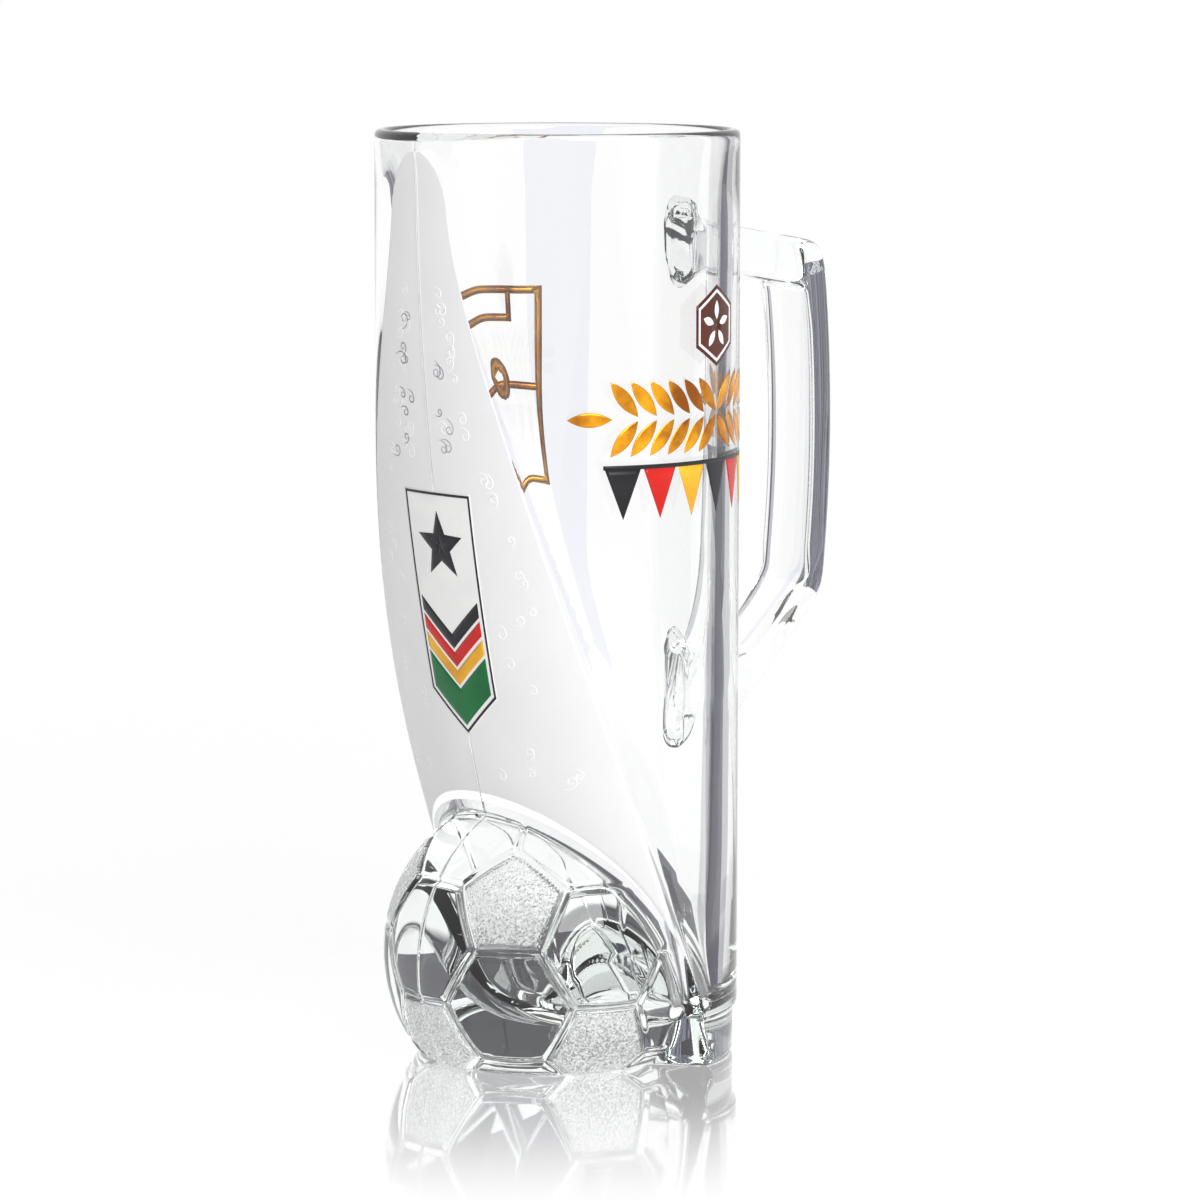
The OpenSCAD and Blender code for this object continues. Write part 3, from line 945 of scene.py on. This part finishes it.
def turned(u: Array, z: Array, angle: Array) -> Drawing:
    """Turns drawing coordinates by angles in degrees, one for each leading copy."""
    a = np.radians(angle).reshape(-1, 1, 1)
    return u * np.cos(a) - z * np.sin(a), u * np.sin(a) + z * np.cos(a)


def grain_shape(length: float, width: float) -> Drawing:
    """Pointed grain: its half width falls with the square of the way from the middle."""
    s, t = grid(15, 7)
    return s * length / 2.0, (t - 0.5) * width * (1.0 - s * s)


@dataclass
class SatinPanel:
    """Satin white print that fills the scoop above a clear strip round the ball."""

    inset: float = 0.8
    inset_top: float = 1.5
    inset_from: float = 130.0
    gap: float = 3.4
    seam: float = 0.16
    dome: float = 183.0
    tip: float = 196.2
    dome_powers: Pair = (1.8, 0.55)
    widest: float = 0.6 * math.pi
    foot_guess: float = 45.0
    foot_lift: float = 5.0
    columns: int = 70
    rows: int = 90
    row_power: float = 1.6

    def half_angle(self, body: GlassBody, z: Array) -> Array:
        """Angle at which the scoop meets the wall, by halving an interval 30 times, less an inset.

        Above the dome's height the width closes to the tip as a power of the height left.

        Args:
            body: Body with the scoop.
            z: Heights.

        Returns:
            Half angles in radians.
        """
        level = np.minimum(z, self.dome)
        low, high = np.zeros_like(z), np.full_like(z, self.widest)
        for _ in range(30):
            middle = (low + high) / 2.0
            inside = body.scoop.reach(middle, level) < body.radius
            low, high = np.where(inside, middle, low), np.where(inside, high, middle)
        share = np.clip((z - self.dome) / (self.tip - self.dome), 0.0, 1.0)
        inset = self.inset + self.inset_top * ramp(z, self.inset_from, self.dome)
        return (low - inset / body.radius) * (1.0 - share ** self.dome_powers[0]) ** self.dome_powers[1]

    def outline(self, body: GlassBody) -> Drawing:
        """Grid of one half: columns fan out from the tip beside the mould line, rows start at the ball.

        The lowest row is where a ball larger by the gap meets the scoop, found by 60 half steps.

        Args:
            body: Body with the scoop and the ball.

        Returns:
            Angles from the front, and heights.
        """
        s = np.linspace(0.0, 1.0, self.columns)
        foot = np.full_like(s, self.foot_guess)
        clear = body.ball.radius + self.gap
        for _ in range(60):
            angle = s * self.half_angle(body, foot)
            r = body.scoop.reach(angle, foot)
            flat = (body.ball.forward - r * np.cos(angle)) ** 2 + (r * np.sin(angle)) ** 2
            wanted = body.ball.height + np.sqrt(np.maximum(clear ** 2 - flat, self.foot_lift ** 2))
            foot = foot + 0.5 * (wanted - foot)
        t = 1.0 - (1.0 - np.linspace(0.0, 1.0, self.rows)[:, None]) ** self.row_power
        z = foot + t * (self.tip - foot)
        line = self.seam / body.scoop.reach(0.0 * z, z)
        return line + s * np.maximum(self.half_angle(body, z) - line, 0.0), z

    def build(self, body: GlassBody) -> bpy.types.Object:
        """Makes the panel as two slabs, one on each side of the mould line.

        Args:
            body: Body with the scoop and the ball.

        Returns:
            The panel.
        """
        angle, z = self.outline(body)
        shop = PrintShop(body, Ground.TURN)
        return shop.slabs("satin_front", [(angle, z), (-angle, z)], 0, INKS["satin_white"], "satin_panel")


@dataclass
class Pennant:
    """Pennant on the satin: pale ground, dark border and star, three chevrons and a green foot."""

    top: float = 124.5
    width: float = 22.0
    height: float = 53.0
    point: float = 9.0
    margin: float = 0.3
    line: float = 0.55
    star: float = 7.6
    star_waist: float = 0.42
    star_gap: float = 4.2
    chevron: float = 3.2
    chevron_gap: float = 8.0
    gap: float = 0.8

    def outline(self, inset: float) -> Array:
        """Corners of the pennant drawn in by an inset, whose point moves in along the slope.

        Args:
            inset: Distance from the pennant's edge.

        Returns:
            Five corners.
        """
        half = self.width / 2.0
        slope = self.point / half
        lean = math.sqrt(1.0 + slope * slope)
        side = self.top - (self.height - self.point) + inset * (lean - slope)
        tip = self.top - self.height + inset * lean
        return np.array([[inset - half, self.top - inset], [inset - half, side], [0.0, tip],
                         [half - inset, side], [half - inset, self.top - inset]])

    def build(self, body: GlassBody) -> None:
        """Prints the pennant on the satin.

        Args:
            body: Body that carries the satin.
        """
        shop = PrintShop(body, Ground.SCOOP)
        black = INKS["black_print"]
        half = self.width / 2.0
        s, t = grid(25, 30)
        ground = s * half, self.top - t * (self.height - self.point * np.abs(s))
        shop.slabs("pennant_pale_ground", [ground], 1, INKS["pale_print"], "pennant_ground")
        border = polygon(np.stack([self.outline(i) for i in (self.margin, self.margin + self.line)]), 24)
        shop.slabs("pennant_dark_border", [border], 2, black, "pennant_border", loop=True)
        turn = np.radians(90.0 + 36.0 * np.arange(10))
        reach = self.star * np.where(np.arange(10) % 2 == 0, 1.0, self.star_waist)[:, None]
        u, z = polygon(reach * np.stack([np.cos(turn), np.sin(turn)], 1), 4)
        share = np.array([[0.02], [0.4], [0.7], [1.0]])
        star = u * share, self.top - self.star_gap - self.star + z * share
        shop.slabs("pennant_dark_star", [star], 2, black, "pennant_star", loop=True)
        inset = 3.0 * self.line
        arm = half - inset
        fall = arm * self.point / half
        start = self.top - 2.0 * self.star - self.chevron_gap
        pitch = self.chevron + self.gap
        s, t = grid(25, 4)
        for i, (ink, node) in enumerate((("black", "black"), ("red", "red"), ("yellow", "gold"))):
            chevron = s * arm, start - i * pitch - fall * (1.0 - np.abs(s)) - t * self.chevron
            shop.slabs(f"pennant_{ink}_chevron", [chevron], 2, INKS[f"{ink}_print"], f"pennant_{node}")
        s, t = grid(25, 8)
        upper = start - 3.0 * pitch - fall * (1.0 - np.abs(s))
        corners = self.outline(inset)
        low = corners[2, 1] + (corners[1, 1] - corners[2, 1]) * np.abs(s)
        foot = s * arm, upper + t * (low - upper)
        shop.slabs("pennant_green_foot", [foot], 2, INKS["green_print"], "pennant_green")


@dataclass
class SidePrint:
    """Near-side print: two barley ears end to end, a row of flags under them and a hexagon plaque."""

    angle: float = 109.0
    ear_z: float = 141.0
    grain: Pair = (9.6, 3.1)
    grains: int = 6
    lean: float = 50.0
    spread: float = 0.45
    step: float = 6.6
    start: float = 5.0
    tip_gap: float = 4.4
    cord_z: float = 130.5
    cord: float = 0.9
    flag: Pair = (8.0, 10.5)
    flag_step: float = 12.8
    flags_reach: float = 3.5
    plaque_z: float = 159.4
    plaque: float = 8.6
    plaque_line: Pair = (1.6, 0.9)
    petal: Triple = (0.46, 0.2, 0.38)

    def build(self, body: GlassBody) -> None:
        """Prints ears, flags and plaque on the wall.

        Args:
            body: Body that carries them.
        """
        shop = PrintShop(body, Ground.WALL, self.angle)
        self.print_ears(shop)
        self.print_flags(shop)
        self.print_plaque(shop)

    def print_ears(self, shop: PrintShop) -> None:
        """Prints rows of leaning grains to both sides, and a grain at each tip.

        Args:
            shop: Print shop of the wall.
        """
        arc = math.radians(1.0) * shop.body.radius
        u, z = grain_shape(*self.grain)
        spots = np.meshgrid([-1.0, 1.0], [-1.0, 1.0], np.arange(float(self.grains)))
        side, row, i = (a.ravel() for a in spots)
        gu, gz = turned(u, z, side * row * self.lean)
        rise = self.grain[0] / 2.0 * math.sin(math.radians(self.lean)) + self.spread
        gu = gu + (side * (self.start + self.step * i) * arc)[:, None, None]
        gz = gz + (self.ear_z + row * rise)[:, None, None]
        tip = (self.start + self.grains * self.step + self.tip_gap) * arc
        ears = [(gu, gz), (u - tip, z + self.ear_z), (u + tip, z + self.ear_z)]
        shop.slabs("barley_ears", ears, 0, INKS["gold_print"], "barley_gold")

    def print_flags(self, shop: PrintShop) -> None:
        """Prints the cord, and the pointed flags that hang from it in three colours.

        Args:
            shop: Print shop of the wall.
        """
        pitch = self.flag_step * math.radians(1.0) * shop.body.radius
        s, t = grid(90, 3)
        cord = s * self.flags_reach * pitch, self.cord_z + t * self.cord
        shop.slabs("bunting_dark_cord", [cord], 0, INKS["black_print"], "bunting_cord")
        s, t = grid(9, 9)
        u, z = s * self.flag[0] / 2.0 * (1.0 - t), self.cord_z - t * self.flag[1]
        flags = (("black", "black", (-3, 0, 3)), ("red", "red", (-2, 1)), ("yellow", "gold", (-1, 2)))
        for ink, node, spots in flags:
            shift = (np.array(spots) * pitch)[:, None, None]
            shop.slabs(f"bunting_{ink}_flags", [(u + shift, z + 0.0 * shift)], 0, INKS[f"{ink}_print"],
                       f"bunting_{node}")

    def print_plaque(self, shop: PrintShop) -> None:
        """Prints the hexagon, a line inside its edge, and five grains that meet in its middle.

        Args:
            shop: Print shop of the wall.
        """
        pale = INKS["pale_print"]
        turn = np.radians(30.0 + 60.0 * np.arange(6))
        u, z = polygon(np.stack([np.cos(turn), np.sin(turn)], 1), 8)
        share = self.plaque * np.array([[0.02], [0.3], [0.6], [0.8], [1.0]])
        shop.slabs("plaque_brown_hexagon", [(u * share, self.plaque_z + z * share)], 0, INKS["brown_print"],
                   "plaque_brown", loop=True)
        share = self.plaque - np.array(self.plaque_line)[:, None]
        shop.slabs("plaque_white_line", [(u * share, self.plaque_z + z * share)], 1, pale, loop=True)
        length, width, middle = (self.plaque * part for part in self.petal)
        u, z = grain_shape(length, width)
        u, z = turned(u + middle, z, 90.0 + 72.0 * np.arange(5))
        shop.slabs("plaque_white_grains", [(u, z + self.plaque_z)], 1, pale, "plaque_white")


@dataclass
class PitchPrint:
    """Far-side print: the plan of a playing field in gold lines."""

    angle: float = -98.0
    z: float = 141.0
    width: float = 36.0
    height: float = 45.0
    line: float = 1.8
    circle: float = 0.19
    area: Pair = (0.5, 0.18)
    area_place: float = 0.41
    halfway_inset: float = 1.0

    def rectangle(self, width: float, height: float, shift: float) -> Drawing:
        """Band inside a rectangle's edge.

        Args:
            width: Width of the rectangle.
            height: Height of the rectangle.
            shift: Height of its middle above the field's.

        Returns:
            Places along u and z, the outer edge first.
        """
        corners = np.array([[-1.0, 1.0], [-1.0, -1.0], [1.0, -1.0], [1.0, 1.0]])
        insets = np.array([0.0, self.line])[:, None, None]
        u, z = polygon(corners * (np.array([width, height]) / 2.0 - insets), 16)
        return u, z + self.z + shift

    def build(self, body: GlassBody) -> None:
        """Prints the frame, the two areas and the circle as looped bands, and the halfway line.

        Args:
            body: Body that carries them.
        """
        shop = PrintShop(body, Ground.WALL, self.angle)
        gold = INKS["gold_print"]
        turn = np.linspace(0.0, 2.0 * math.pi, 64, endpoint=False)
        ring = self.circle * self.width - np.array([[0.0], [self.line]])
        area = self.area[0] * self.width, self.area[1] * self.height
        shift = self.area_place * self.height
        lines = [self.rectangle(self.width, self.height, 0.0),
                 (ring * np.cos(turn), ring * np.sin(turn) + self.z),
                 self.rectangle(*area, shift), self.rectangle(*area, -shift)]
        shop.slabs("pitch_gold_lines", lines, 0, gold, "pitch_gold", loop=True)
        s, t = grid(40, 3)
        halfway = s * (self.width / 2.0 - self.halfway_inset), self.z + (t - 0.5) * self.line
        shop.slabs("pitch_gold_halfway", [halfway], 0, gold)


@dataclass
class Streamers:
    """Loose curled streamers drawn in the satin as fine lines, clear of the pennant and the mould line."""

    name: str
    ink: InkFinish
    count: int = 60
    width: float = 0.3
    seed: int = 7
    turns: Pair = (-1.0, 1.0)
    heights: Pair = (62.0, 182.0)
    draws: int = 900
    points: int = 48
    margin: float = 0.16
    pennant_half: float = 15.0
    pennant_heights: Pair = (66.0, 131.0)
    seam_half: float = 4.0
    lean: float = 0.6
    curl: Pair = (0.5, 7.0)
    stride: Pair = (0.1, 0.2)
    tip: float = 0.04

    def build(self, body: GlassBody, panel: SatinPanel) -> bpy.types.Object:
        """Draws curls whose heading turns faster along their length, spread over the panel.

        Args:
            body: Body that carries the satin.
            panel: Satin panel that they stay inside.

        Returns:
            The streamers.
        """
        rng = np.random.default_rng(self.seed)
        z = rng.uniform(*self.heights, self.draws)
        turn = rng.uniform(*self.turns, self.draws) * (panel.half_angle(body, z) - self.margin)
        r = body.outer(turn, z)[0]
        aside = np.abs(r * np.sin(turn))
        low, high = self.pennant_heights
        clear = ((aside > self.pennant_half) | (z > high) | (z < low)) & (aside > self.seam_half)
        turn, z, r = (a[clear][:self.count, None] for a in (turn, z, r))
        t = np.linspace(0.0, 1.0, self.points)[None]
        n = len(z)
        heading = rng.uniform(-self.lean, self.lean, (n, 1))
        heading = heading + rng.choice([-1.0, 1.0], (n, 1)) * (self.curl[0] + self.curl[1] * t) * t
        step = rng.uniform(*self.stride, (n, 1))
        x = np.cumsum(np.cos(heading) * step, 1)
        y = np.cumsum(np.sin(heading) * step, 1)
        x, y = x - x.mean(1, keepdims=True), z + y - y.mean(1, keepdims=True)
        pen = self.width / 2.0 * np.sin(math.pi * np.clip(t, self.tip, 1.0 - self.tip)) ** 0.5
        across = np.stack([x - np.sin(heading) * pen, x + np.sin(heading) * pen], 1)
        u = turn[:, None] + across / r[:, None]
        z = np.stack([y + np.cos(heading) * pen, y - np.cos(heading) * pen], 1)
        return PrintShop(body, Ground.TURN).slabs(self.name, [(u, z)], 1, self.ink)


def stage_sheet(name: str, points: Array, faces: list[tuple[int, ...]], material: bpy.types.Material,
                hidden: bool = False) -> bpy.types.Object:
    """Puts a sheet of the set into the scene.

    Args:
        name: Name of the sheet.
        points: Points in millimetres.
        faces: Faces as point numbers.
        material: Material of the sheet.
        hidden: Whether only rays that have passed through glass meet it.

    Returns:
        The sheet.
    """
    mesh = bpy.data.meshes.new(name)
    mesh.from_pydata((points * MM).tolist(), [], faces)
    mesh.materials.append(material)
    sheet = bpy.data.objects.new(name, mesh)
    if hidden:
        sheet.visible_camera = sheet.visible_diffuse = sheet.visible_glossy = sheet.visible_shadow = False
    bpy.context.scene.collection.objects.link(sheet)
    return sheet


@dataclass(frozen=True)
class Card:
    """Card beside the set or flat on its floor, bent round the mug, that only the glass shows."""

    name: str
    left: float
    right: float
    low: float
    high: float
    shade: Shade
    distance: float = 0.0
    centre: Pair = (0.0, 0.0)
    streaks: Pair = (1.0, 1.0)
    streak_scale: float = 150.0
    streak_stretch: float = 0.06
    streak_limits: Pair = (0.38, 0.62)
    columns: int = 25
    lift: float = 0.3

    def material(self) -> bpy.types.Material:
        """Builds the shader: black, with a glow of the shade times an upright streaky noise.

        Returns:
            The material.
        """
        mat = bpy.data.materials.new(self.name)
        bench = NodeBench(mat)
        coords = bench.add("TexCoord", output="Object")
        tall = bench.add("Mapping", {"Vector": coords, "Scale": (1.0, 1.0, self.streak_stretch)})
        noise = bench.add("TexNoise", {"Vector": tall, "Scale": self.streak_scale})
        bench.feed("Principled BSDF", {
            "Base Color": BLACK, "Roughness": 1.0, "Specular IOR Level": 0.0,
            "Emission Color": (*self.shade, 1.0),
            "Emission Strength": bench.span(noise, (*self.streak_limits, *self.streaks))})
        return mat

    def build(self, forward: float) -> bpy.types.Object:
        """Bends the card round a centre between two angles to the right of the view.

        A card with a distance stands upright between two heights. One without lies on the floor
        between two distances.

        Args:
            forward: Angle of the view's direction from +X.

        Returns:
            The card.
        """
        turn = forward - np.radians(np.linspace(self.left, self.right, self.columns))
        ring = np.stack([np.cos(turn), np.sin(turn), 0.0 * turn], 1)
        ahead = np.array([math.cos(forward), math.sin(forward), 0.0])
        aside = np.array([math.sin(forward), -math.cos(forward), 0.0])
        middle = self.centre[0] * aside + self.centre[1] * ahead
        if self.distance > 0.0:
            rows = [middle + ring * self.distance + (0.0, 0.0, z) for z in (self.low, self.high)]
        else:
            rows = [middle + ring * r + (0.0, 0.0, self.lift) for r in (self.low, self.high)]
        n = self.columns
        faces = [(i, i + 1, i + n + 1, i + n) for i in range(n - 1)]
        return stage_sheet(self.name, np.concatenate(rows), faces, self.material(), hidden=True)


@dataclass
class Studio:
    """Camera, white background and floor, one soft lamp, and cards that only the glass shows.

    Limits of the floor are two distances from the mug in metres and the values there.
    """

    distance: float = 1047.4
    camera_height: float = 235.4
    pitch: float = math.radians(7.366)
    focal_pixels: float = 4889.5
    azimuth: float = math.radians(-39.86)
    image: float = 1200.0
    axis_pixel: Pair = (557.4, 593.0)
    sensor: float = 36.0
    fill: float = 0.3
    evenness: float = 0.9
    floor_half: float = 4000.0
    floor_z: float = -0.1
    floor_matt: Shade = (0.8, 0.8, 0.8)
    floor_glow: Limits = (0.1, 0.9, 0.44, 0.76)
    mirror: Limits = (0.045, 0.15, 1.9, 0.0)
    mirror_index: float = 1.7
    mirror_roughness: float = 0.04
    plate_edge: Limits = (0.06, 0.07, 1.0, 0.0)
    plate_places: Limits = (0.36, 0.42, 0.74, 0.8)
    plate_shade: Shade = (0.075, 0.072, 0.082)
    lamp_turn: float = 26.0
    lamp_rise: float = 36.0
    lamp_distance: float = 900.0
    lamp_size: float = 560.0
    lamp_aim: float = 100.0
    lamp_watts: float = 7.2
    cards: tuple[Card, ...] = (
        Card("card_left", -99.0, -48.0, 0.0, 330.0, (0.065, 0.065, 0.08), 480.0, streaks=(0.4, 4.5)),
        Card("card_left_high", -29.0, -12.0, 388.0, 482.0, (0.12, 0.11, 0.1), 480.0),
        Card("card_right", 34.0, 60.0, 0.0, 300.0, (0.07, 0.067, 0.095), 420.0, (38.0, 0.0)),
        Card("card_right_floor", 34.0, 60.0, 14.0, 420.0, (0.07, 0.067, 0.095), 0.0, (38.0, 0.0)),
        Card("card_right_soft", 22.0, 34.0, 0.0, 300.0, (0.5, 0.5, 0.54), 420.0, (38.0, 0.0)),
        Card("card_soft_floor", 22.0, 34.0, 30.0, 420.0, (0.5, 0.5, 0.54), 0.0, (38.0, 0.0)),
        Card("card_back", -2.0, 2.1, 0.0, 330.0, (0.89, 0.895, 0.945), 480.0),
        Card("card_foot", -190.0, 10.0, 68.0, 140.0, (0.16, 0.155, 0.19)),
        Card("card_low", -60.0, 9.0, 0.0, 14.0, (0.06, 0.058, 0.066), 80.0),
        Card("card_low_right", 9.0, 35.0, 0.0, 14.0, (0.15, 0.146, 0.165), 80.0),
    )

    def camera(self) -> bpy.types.Object:
        """Makes the camera at the photograph's place, aimed at the mug's axis and shifted to its frame.

        Returns:
            The camera.
        """
        data = bpy.data.cameras.new("photo_camera")
        data.sensor_width = self.sensor
        data.lens = self.focal_pixels / self.image * self.sensor
        data.shift_x = (self.image / 2.0 - self.axis_pixel[0]) / self.image
        data.shift_y = (self.axis_pixel[1] - self.image / 2.0) / self.image
        data.clip_start, data.clip_end = 0.05, 50.0
        cam = bpy.data.objects.new("photo_camera", data)
        back = Vector((math.sin(self.azimuth), -math.cos(self.azimuth), 0.0))
        cam.location = back * self.distance * MM + Vector((0.0, 0.0, self.camera_height * MM))
        look = -back * math.cos(self.pitch) - Vector((0.0, 0.0, math.sin(self.pitch)))
        cam.rotation_mode = "QUATERNION"
        cam.rotation_quaternion = look.to_track_quat("-Z", "Y")
        bpy.context.scene.collection.objects.link(cam)
        bpy.context.scene.camera = cam
        return cam

    def world(self) -> None:
        """Makes the world white, but dimmer as a light on matt surfaces."""
        world = bpy.data.worlds.new("white_studio")
        bpy.context.scene.world = world
        bench = NodeBench(world)
        level = bench.span(bench.add("LightPath", output="Is Diffuse Ray"), (0.0, 1.0, 1.0, self.fill))
        bench.feed("Background", {"Color": WHITE, "Strength": level})

    def floor_material(self) -> bpy.types.Material:
        """Builds the floor's shader from the distance to the mug.

        It is matt with a glow that rises away from the mug, and mirrors more near the mug. For the camera
        most of it is an even white, and the rest keeps the shadow. Through the glass it is the plate of
        the set: pale from above, dark at a slant, pale far away.

        Returns:
            The material.
        """
        mat = bpy.data.materials.new("pale_floor")
        bench = NodeBench(mat)
        bench.tree.nodes.remove(bench.tree.nodes["Principled BSDF"])
        coords = bench.add("TexCoord", output="Object")
        away = bench.add("VectorMath", {0: coords}, "Value", operation="LENGTH")
        matt = bench.add("BsdfDiffuse", {"Color": (*self.floor_matt, 1.0)})
        glow = bench.add("Emission", {"Strength": bench.span(away, self.floor_glow)})
        lit = bench.add("AddShader", {0: matt, 1: glow})
        even = bench.span(bench.add("LightPath", output="Is Camera Ray"), (0.0, 1.0, 0.0, self.evenness))
        shown = bench.add("MixShader", {"Fac": even, 1: lit, 2: bench.add("Emission")})
        fade = bench.span(away, self.mirror, interpolation_type="SMOOTHSTEP")
        fresnel = bench.add("Fresnel", {"IOR": self.mirror_index})
        share = bench.add("Math", {0: fresnel, 1: fade}, operation="MULTIPLY", use_clamp=True)
        gloss = bench.add("BsdfGlossy", {"Color": WHITE, "Roughness": self.mirror_roughness})
        floor = bench.add("MixShader", {"Fac": share, 1: shown, 2: gloss})
        slant = bench.add("LayerWeight", {"Blend": 0.5}, "Facing")
        shades = (WHITE[:3], self.plate_shade, self.plate_shade, WHITE[:3])
        plate = bench.shades(slant, self.plate_places, shades)
        near = bench.span(away, self.plate_edge)
        tint = bench.add("Mix", {"Factor": near, "A": WHITE, "B": plate}, "Result", data_type="RGBA")
        through = bench.add("LightPath", output="Is Transmission Ray")
        seen = bench.add("MixShader", {"Fac": through, 1: floor, 2: bench.add("Emission", {"Color": tint})})
        bench.feed("Material Output", {"Surface": seen})
        return mat

    def floor(self) -> bpy.types.Object:
        """Lays the floor just under the foot.

        Returns:
            The floor.
        """
        corners = np.array([[-1.0, -1.0], [1.0, -1.0], [1.0, 1.0], [-1.0, 1.0]]) * self.floor_half
        points = np.insert(corners, 2, self.floor_z, 1)
        return stage_sheet("floor", points, [(0, 1, 2, 3)], self.floor_material())

    def lamp(self) -> bpy.types.Object:
        """Hangs a square soft lamp to the right of the camera, which looks at the middle of the mug.

        Returns:
            The lamp.
        """
        data = bpy.data.lights.new("key_lamp", "AREA")
        data.shape, data.size, data.energy = "SQUARE", self.lamp_size * MM, self.lamp_watts
        lamp = bpy.data.objects.new("key_lamp", data)
        a = self.azimuth - math.pi / 2.0 + math.radians(self.lamp_turn)
        e = math.radians(self.lamp_rise)
        aim = Vector((math.cos(a) * math.cos(e), math.sin(a) * math.cos(e), math.sin(e)))
        lamp.location = aim * self.lamp_distance * MM + Vector((0.0, 0.0, self.lamp_aim * MM))
        lamp.rotation_mode = "QUATERNION"
        lamp.rotation_quaternion = (-aim).to_track_quat("-Z", "Y")
        bpy.context.scene.collection.objects.link(lamp)
        return lamp

    def build(self) -> None:
        """Sets up camera, world, floor, cards and lamp."""
        self.camera()
        self.world()
        self.floor()
        for card in self.cards:
            card.build(math.pi / 2.0 + self.azimuth)
        self.lamp()
        bpy.context.scene.view_settings.view_transform = "Standard"


def main() -> None:
    """Builds every piece in order."""
    logging.basicConfig(level=logging.INFO, format="%(name)s %(message)s")
    Studio().build()
    body = GlassBody()
    body.build(GlassFinish("clear_glass_body", stipple=True))
    StrapHandle().build(GlassFinish("clear_glass_handle"))
    panel = SatinPanel()
    panel.build(body)
    Pennant().build(body)
    SidePrint().build(body)
    PitchPrint().build(body)
    Streamers("satin_streamers", INKS["streamer_white"]).build(body, panel)
    Streamers("satin_streamers_grey", INKS["streamer_grey"], 16, 0.26, 11, (-0.8, 0.55),
              (128.0, 176.0)).build(body, panel)


if __name__ == "__main__":
    main()
